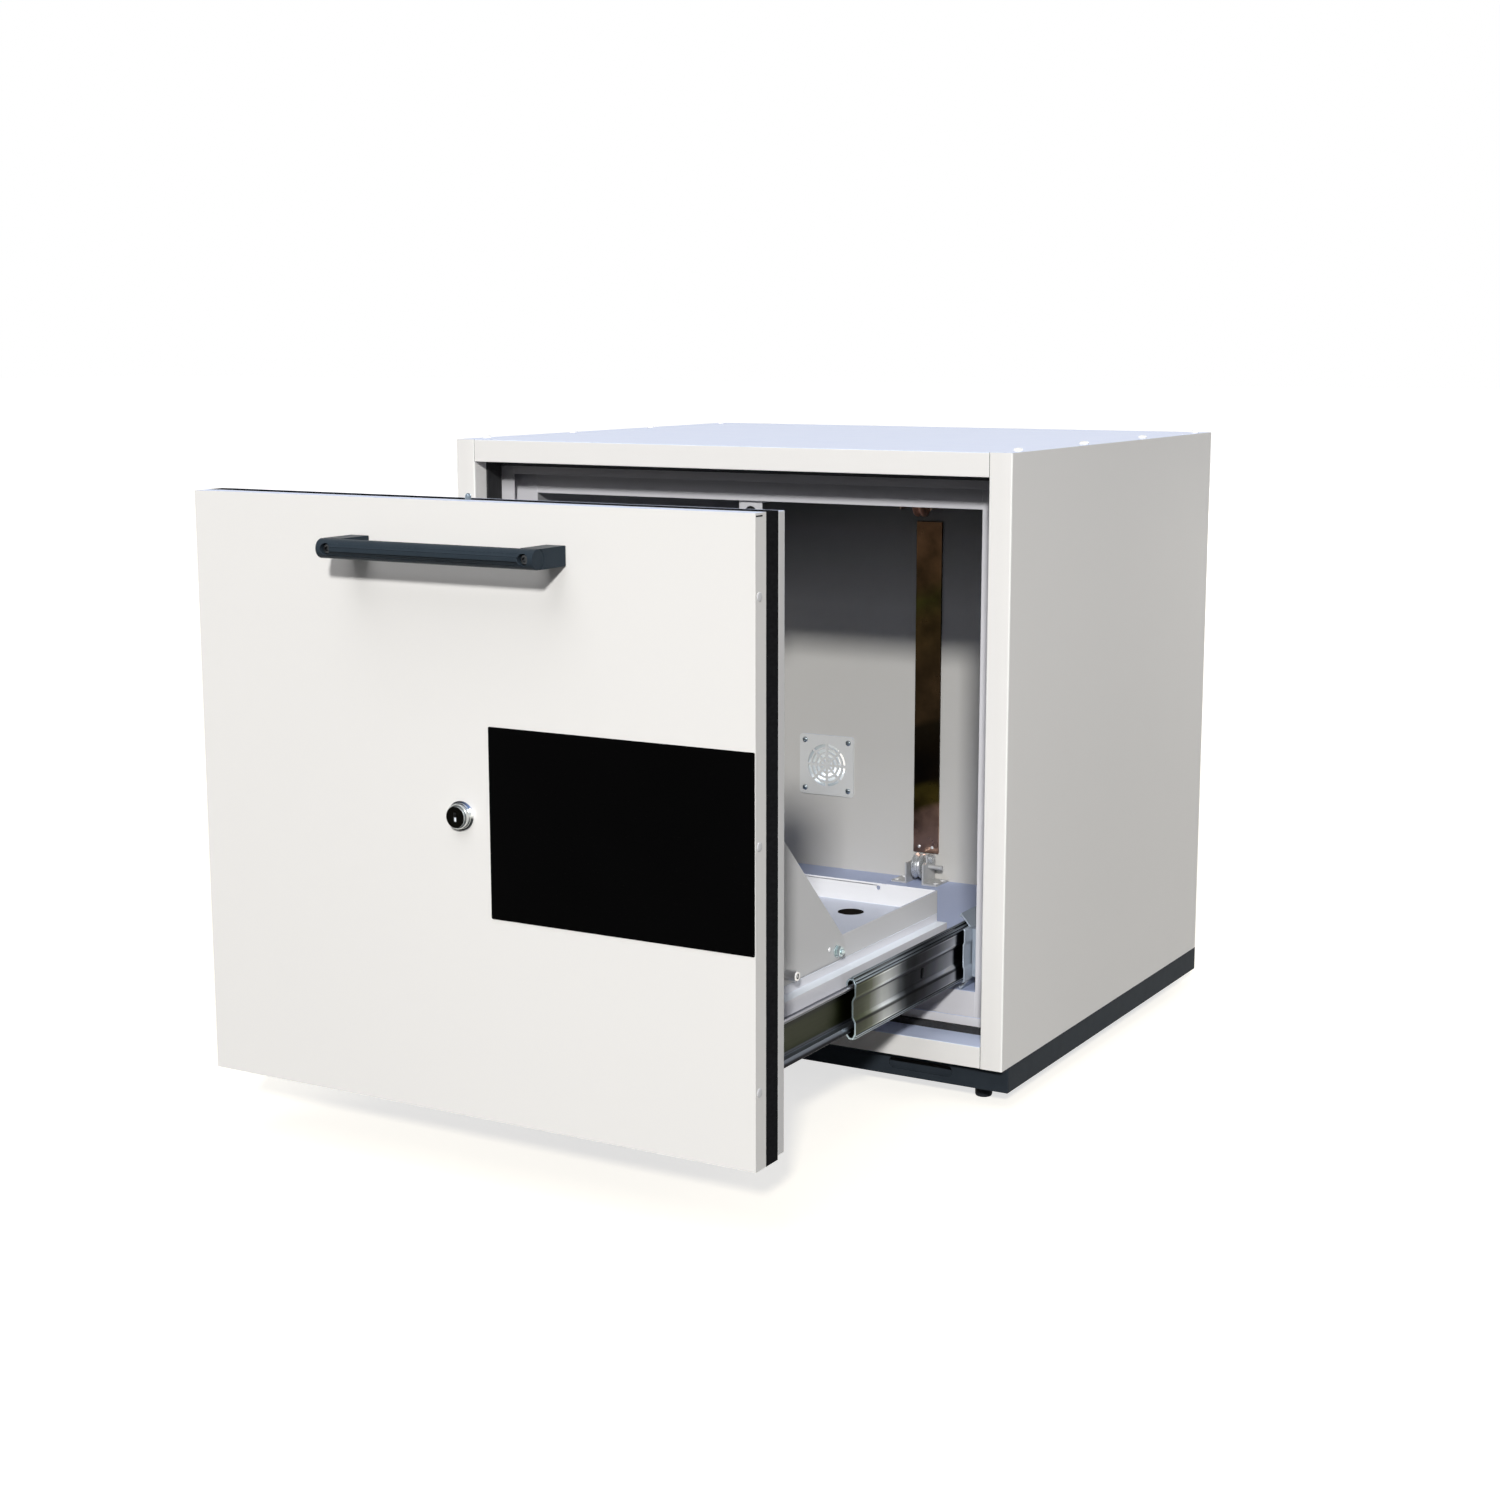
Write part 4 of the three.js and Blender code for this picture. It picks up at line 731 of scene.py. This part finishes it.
# Painted shade: a near-black disc stands behind the slot hole in each middle member, so that the hole
# shows dark.
slot_shade_finish = powder("slot_shade_black", (0.004, 0.004, 0.005), (0.008, 0.008, 0.009), roughness=0.7)
shade_disc_profile = [(0, 0), (0.0062, 0), (0.0065, 0.0003), (0.0065, 0.0008), (0, 0.0008)]
shade_disc_mesh = smooth(lathe("slide_slot_shade", shade_disc_profile))
shade_disc_inset = 0.005
shade_disc_share = 0.345
shade_disc_along = middle_low.y + (middle_high.y - middle_low.y) * shade_disc_share
race_rib = 0.0009
race_end_gap = 0.0008
slide_centre = (middle_low.z + middle_high.z) / 2
race_spots = [
    ("upper", (middle_high.x - 0.00008, 0.02224), (middle_high.x - 0.00228, 0.02662), 2),
    ("hook", (middle_high.x - 0.00275, 0.02703), (middle_high.x - 0.0066, 0.02703), 2),
    ("lower", (middle_high.x - 0.00228, -0.02662), (middle_high.x - 0.00008, -0.02224), 2),
]
for name, way in sides:
    turned = Matrix.Rotation(math.radians(90 - 90 * way), 4, "Z")
    near, far = sorted((way * (middle_low.y + race_end_gap), way * (middle_high.y - race_end_gap)))
    for kind, start, end, ribs in race_spots:
        rise = [(across, up + slide_centre) for across, up in (start, end)]
        strip = ribbed_strip(f"race_{kind}", *rise, ribs, race_rib, near, far)
        strip_name = f"slide_race_{kind}_{name}"
        piece(strip_name, strip, race_steel, f"slide_middle_{name}", turned=turned)
    spot = (way * (middle_high.x - shade_disc_inset), shade_disc_along, slide_centre)
    outward = Matrix.Rotation(math.radians(90 * way), 4, "Y")
    piece(f"slide_slot_shade_{name}", shade_disc_mesh, slot_shade_finish, f"slide_middle_{name}", spot, outward)

# Drawer front
# A white sheet pan, a black core board that shows all round its edge, and a white back plate. Pale
# plugs close the holes in the pan's side returns, and a dark line marks the fold at its top corners.

front_white = white("front_white", (0.87, 0.85, 0.83), roughness=0.36)
dress(["front_pan"], front_white, edge=0.0011)
plate_white = white("plate_white", (0.71, 0.7, 0.7), roughness=0.36)
dress(["front_back_plate"], plate_white, edge=0.0006)
core_black = Finish("core_black", Roughness=0.8, Specular_IOR_Level=0)
grain = core_black.noise(420, 4, (1, 0.5, 1))
core_black.set("Base Color", core_black.mix(grain, (0.01, 0.01, 0.011), (0.027, 0.027, 0.03)))
core_black.bump(grain, 0.00015)
dress(["front_core"], core_black, edge=0.0005)
pan_low, pan_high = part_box("front_pan")
plug_finish = Finish("plug_grey", Roughness=0.35)
plug_cloud = plug_finish.noise(500, 2)
plug_finish.set("Base Color", plug_finish.mix(plug_cloud, (0.62, 0.62, 0.64), (0.72, 0.72, 0.74)))
plug_mesh = dome("plug", radius=0.0036, height=0.0009, skirt=0.0003)
plug_inset = 0.0057
plug_heights = (0.1298, 0.3223, 0.5108)
for side, way in sides:
    outward = Matrix.Rotation(math.radians(90 * way), 4, "Y")
    edge = pan_high.x if way > 0 else pan_low.x
    for number, height in enumerate(plug_heights, 1):
        spot = (edge, pan_low.y + plug_inset, height)
        piece(f"edge_plug_{side}_{number}", plug_mesh, plug_finish, "drawer", spot, outward)

line_thick = 0.0001
for side, edge in (("left", pan_low.x - line_thick), ("right", pan_high.x)):
    line_low = (edge, pan_low.y + 0.0008, pan_high.z - 0.0029)
    line_high = (edge + line_thick, pan_low.y + 0.0105, pan_high.z - 0.0018)
    piece(f"pan_corner_{side}", block("pan_corner", line_low, line_high), core_black, "drawer")

# Label panel
# A thin panel of black plastic with a satin face and rounded corners, stuck on the drawer front
# beside the lock. It is bare.


def plate(name, low, high, corner):
    """A thin upright plate with rounded corners and a small bevel round its front."""
    edge = 0.0004
    steps = 4
    outline = []
    for x, z, start in (
        (high[0] - corner, high[2] - corner, 0),
        (low[0] + corner, high[2] - corner, 90),
        (low[0] + corner, low[2] + corner, 180),
        (high[0] - corner, low[2] + corner, 270),
    ):
        for step in range(steps + 1):
            angle = math.radians(start + step * 90 / steps)
            outline.append((x, z, math.cos(angle), math.sin(angle)))
    rings = [(corner, high[1]), (corner, low[1] + edge), (corner - edge, low[1])]
    points = [(x + r * c, y, z + r * s) for r, y in rings for x, z, c, s in outline]
    count = len(outline)
    faces = [tuple(range(count))[::-1], tuple(range(2 * count, 3 * count))]
    for first in (0, count):
        for i in range(first, first + count):
            j = first + (i + 1 - first) % count
            faces.append((i, j, j + count, i + count))
    return smooth(mesh_of(name, points, faces), 30)


panel_black = Finish("panel_black", Roughness=0.3, Specular_IOR_Level=0.012)
panel_dark = (0.0005, 0.0005, 0.0006)
panel_light = (0.0012, 0.0012, 0.0014)
panel_black.set("Base Color", panel_black.mix(panel_black.noise(12, 3), panel_dark, panel_light))
panel_black.set("Roughness", 0.26 + panel_black.noise(30, 3) * 0.1)
panel_black.bump(panel_black.noise(900, 1), 0.00001, 0.5)
panel_thick = 0.0008
panel_low = (0.028, pan_low.y - panel_thick, 0.2378)
panel_high = (0.2724, pan_low.y, 0.3948)
piece("label_panel", plate("label_panel", panel_low, panel_high, corner=0.0012), panel_black, "drawer")

# Handle
# A round bar on two posts, with a blue-black powder coat. A socket screw sits deep in a round recess
# at each end of the bar, and draws it and the post to the drawer front.

handle_coat = powder("handle_coat", (0.024, 0.034, 0.045), (0.035, 0.047, 0.06), roughness=0.36)
dress(["handle_bar"], handle_coat, edge=0.0006)
dress(["handle_post_left", "handle_post_right"], handle_coat, edge=0.0005)
bar_low, bar_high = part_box("handle_bar")
socket_profile = [
    (0, 0), (0.0038, 0), (0.0038, 0.0022), (0.0034, 0.0026), (0.0021, 0.0026), (0.002, 0.001), (0, 0.001),
]
socket_mesh = smooth(lathe("bar_screw", socket_profile))
bar_screw = metal("black_screw", (0.03, 0.032, 0.036), (0.08, 0.085, 0.09), 0.3, scale=300)
bar_screw_inset = 0.0092
bar_screw_depth = 0.006
for name, right in (("left", bar_low.x + bar_screw_inset), ("right", bar_high.x - bar_screw_inset)):
    spot = (right, bar_low.y + bar_screw_depth, (bar_low.z + bar_high.z) / 2)
    piece(f"bar_screw_{name}", socket_mesh, bar_screw, "drawer", spot, to_front)

# Lock
# A chromed housing with a collar on the drawer front, a steel barrel with a black face and a key
# slot, a bright pin inside the slot, and the round bolt that comes out of the top edge. The collar
# and ring carry painted reflections, and the pin's bright bluish colour is a painted glint.

lock_low, lock_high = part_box("lock_housing")
chrome = Finish("lock_chrome", Metallic=1, Roughness=0.12)
spot = chrome.place()
across, height = (chrome.axis(spot, axis) for axis in "XZ")
rise = height - (lock_low.z + lock_high.z) / 2
around = rise.maths("ARCTAN2", rise, across) / math.tau + 0.5
# Painted reflections: the collar's colour round the lock is what the chrome reflects, dark and blue above
# and bright at the right; the inner ring carries a painted highlight.
collar_reflection_tones = [
    (0.0, (0.3, 0.32, 0.34)),
    (0.2, (0.03, 0.03, 0.035)),
    (0.26, (0.01, 0.01, 0.012)),
    (0.42, (0.02, 0.022, 0.026)),
    (0.48, (0.08, 0.085, 0.09)),
    (0.52, (0.95, 0.96, 0.97)),
    (0.57, (0.95, 0.96, 0.97)),
    (0.61, (0.18, 0.26, 0.48)),
    (0.68, (0.07, 0.1, 0.18)),
    (0.75, (0.008, 0.008, 0.014)),
    (0.84, (0.04, 0.042, 0.05)),
    (1.0, (0.3, 0.32, 0.34)),
]
ring_highlight_tones = [
    (0.0, (0.4, 0.42, 0.42)),
    (0.3, (0.36, 0.38, 0.38)),
    (0.53, (0.6, 0.62, 0.62)),
    (0.7, (0.42, 0.44, 0.44)),
]
collar = chrome.tone(around, collar_reflection_tones)
ring = chrome.tone(around, ring_highlight_tones)
ring_radius = 0.0107
squared = across * across + rise * rise
radius = squared.maths("SQRT", squared)
chrome.set("Base Color", chrome.mix(radius.maths("GREATER_THAN", radius, ring_radius), ring, collar))
chrome.set("Roughness", 0.1 + chrome.noise(300, 2) * 0.08)
dress(["lock_housing"], chrome, edge=0.0004)
bolt_steel = metal("bolt_steel", (0.1, 0.13, 0.16), (0.3, 0.36, 0.42), 0.12, scale=200)
dress(["lock_bolt"], bolt_steel, edge=0.0003, angle=60)
barrel_black = Finish("barrel_black", Specular_IOR_Level=0)
wear = barrel_black.noise(160, 3)
forward = barrel_black.axis(barrel_black.facing(), "Y")
face = barrel_black.clamp(0 - forward * 4 - 2)
face_black = barrel_black.mix(wear, (0.003, 0.0028, 0.002), (0.008, 0.0075, 0.006))
barrel_black.set("Base Color", barrel_black.mix(face, (0.5, 0.52, 0.54), face_black))
barrel_black.set("Metallic", 1 - face)
barrel_black.set("Roughness", 0.3 + wear * 0.12)
# Painted highlight: the steel piece in the key slot is coloured bright bluish for the glint in the keyway.
keyway_glint_steel = metal("keyway_glint_steel", (0.5, 0.56, 0.66), (0.78, 0.84, 0.92), 0.2, scale=200)
barrel_low, barrel_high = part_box("lock_barrel")
middle = (barrel_low.z + barrel_high.z) / 2
pin_low = (-0.001, barrel_low.y + 0.0004, middle - 0.0008)
pin_high = (0.0008, barrel_low.y + 0.001, middle + 0.0024)
piece("keyway_pin", block("keyway_pin", pin_low, pin_high), keyway_glint_steel, "lock_barrel")
dress(["lock_barrel"], barrel_black, edge=0.0004)

# Carriage and spill tray
# White-coated sheet. The carriage is folded down on each side to the plates that the inner slide
# members are screwed to, and the tray stands on it. A black sleeve lines the tray's drain hole.

# Painted light: the carriage's top faces take a bluer cast of sky light, and the tray's top faces a
# darker, bluer one for the shade it stands in.
carriage_white = white("carriage_white", (0.83, 0.825, 0.87), roughness=0.3, painted_sky_tint=(1.04, 1.1, 1.3))
dress(["carriage"], carriage_white, edge=0.0005)
tray_white = white("tray_white", (0.78, 0.775, 0.79), roughness=0.24, painted_sky_tint=(0.68, 0.725, 0.84))
dress(["spill_tray"], tray_white, edge=0.0006)
tray_low, tray_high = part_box("spill_tray")
sleeve_black = powder("drain_sleeve", (0.006, 0.005, 0.004), (0.012, 0.01, 0.008), roughness=0.7)
sleeve_top = 0.00145
sleeve_foot = -0.005
sleeve_profile = [
    (0.0122, sleeve_foot), (0.0122, sleeve_top), (0.0116, sleeve_top), (0.0115, sleeve_foot),
    (0.0122, sleeve_foot),
]
drain_from_right = 0.0703
drain_from_rear = 0.04
drain_spot = (tray_high.x - drain_from_right, tray_high.y - drain_from_rear, tray_low.z)
piece("drain_sleeve", smooth(lathe("drain_sleeve", sleeve_profile)), sleeve_black, "drawer", drain_spot)

# Gusset plates and their bolts
# White plates that brace the drawer front, bolted to the tray's sides: a hex nut on a washer at the
# rear and a longer socket-head screw in front of it.

gusset_white = white("gusset_white", (0.7, 0.695, 0.7), roughness=0.3)
dress(["gusset_left", "gusset_right"], gusset_white, edge=0.0005)


def hexagon(name, across, thick):
    """A hexagon nut with chamfered corners, its flat underside at nought."""
    corner = across / 2 / math.cos(math.pi / 6)
    rings = [(corner * 0.96, 0), (corner, thick * 0.12), (corner, thick * 0.88), (corner * 0.93, thick)]
    turns = [i * math.pi / 3 for i in range(6)]
    points = [(r * math.cos(turn), r * math.sin(turn), z) for r, z in rings for turn in turns]
    faces = [tuple(range(6))[::-1], tuple(range(18, 24))]
    for ring in range(3):
        for i in range(6):
            j = (i + 1) % 6
            faces.append((ring * 6 + i, ring * 6 + j, ring * 6 + 6 + j, ring * 6 + 6 + i))
    return smooth(mesh_of(name, points, faces), 20)


washer_thick = 0.0012
nut_mesh = hexagon("nut", across=0.008, thick=0.0042)
washer_profile = [
    (0, 0), (0.0052, 0), (0.0054, 0.0002), (0.0054, 0.001), (0.0052, washer_thick), (0, washer_thick),
]
washer_mesh = smooth(lathe("washer", washer_profile))
end_profile = [(0, 0), (0.0024, 0), (0.0024, 0.0066), (0.0019, 0.0072), (0, 0.0072)]
end_mesh = smooth(lathe("bolt_end", end_profile))
cap_profile = [
    (0, 0), (0.0042, 0), (0.0044, 0.0004), (0.0044, 0.0102), (0.0038, 0.0108),
    (0.0024, 0.0108), (0.0023, 0.0072), (0, 0.0072),
]
cap_screw_mesh = smooth(lathe("cap_screw", cap_profile))
gusset_rivet = dome("gusset_rivet", radius=0.0022, height=0.0009, skirt=0.0002)
nut_steel = metal("nut_steel", (0.4, 0.5, 0.52), (0.66, 0.74, 0.76), 0.25, scale=260)
cap_steel = metal("cap_screw_steel", (0.62, 0.62, 0.63), (0.8, 0.8, 0.8), 0.3, scale=260)
bolt_level = 0.008
nut_from_rear = 0.0155
screw_from_rear = 0.1042
rivet_forward = 0.0126
rivet_above = 0.004
for name, way in sides:
    low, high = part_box(f"gusset_{name}")
    face = high.x if way > 0 else low.x
    outward = Matrix.Rotation(math.radians(90 * way), 4, "Y")
    level = low.z + bolt_level
    rear = high.y - nut_from_rear
    front = high.y - screw_from_rear
    on_washer = face + way * washer_thick
    rivet_spot = (face, rear - rivet_forward, level + rivet_above)
    piece(f"washer_{name}", washer_mesh, nut_steel, "drawer", (face, rear, level), outward)
    piece(f"nut_{name}", nut_mesh, nut_steel, "drawer", (on_washer, rear, level), outward)
    piece(f"bolt_end_{name}", end_mesh, nut_steel, "drawer", (face, rear, level), outward)
    piece(f"cap_screw_{name}", cap_screw_mesh, cap_steel, "drawer", (face, front, level), outward)
    piece(f"gusset_rivet_{name}", gusset_rivet, bright, "drawer", rivet_spot, outward)

low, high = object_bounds()
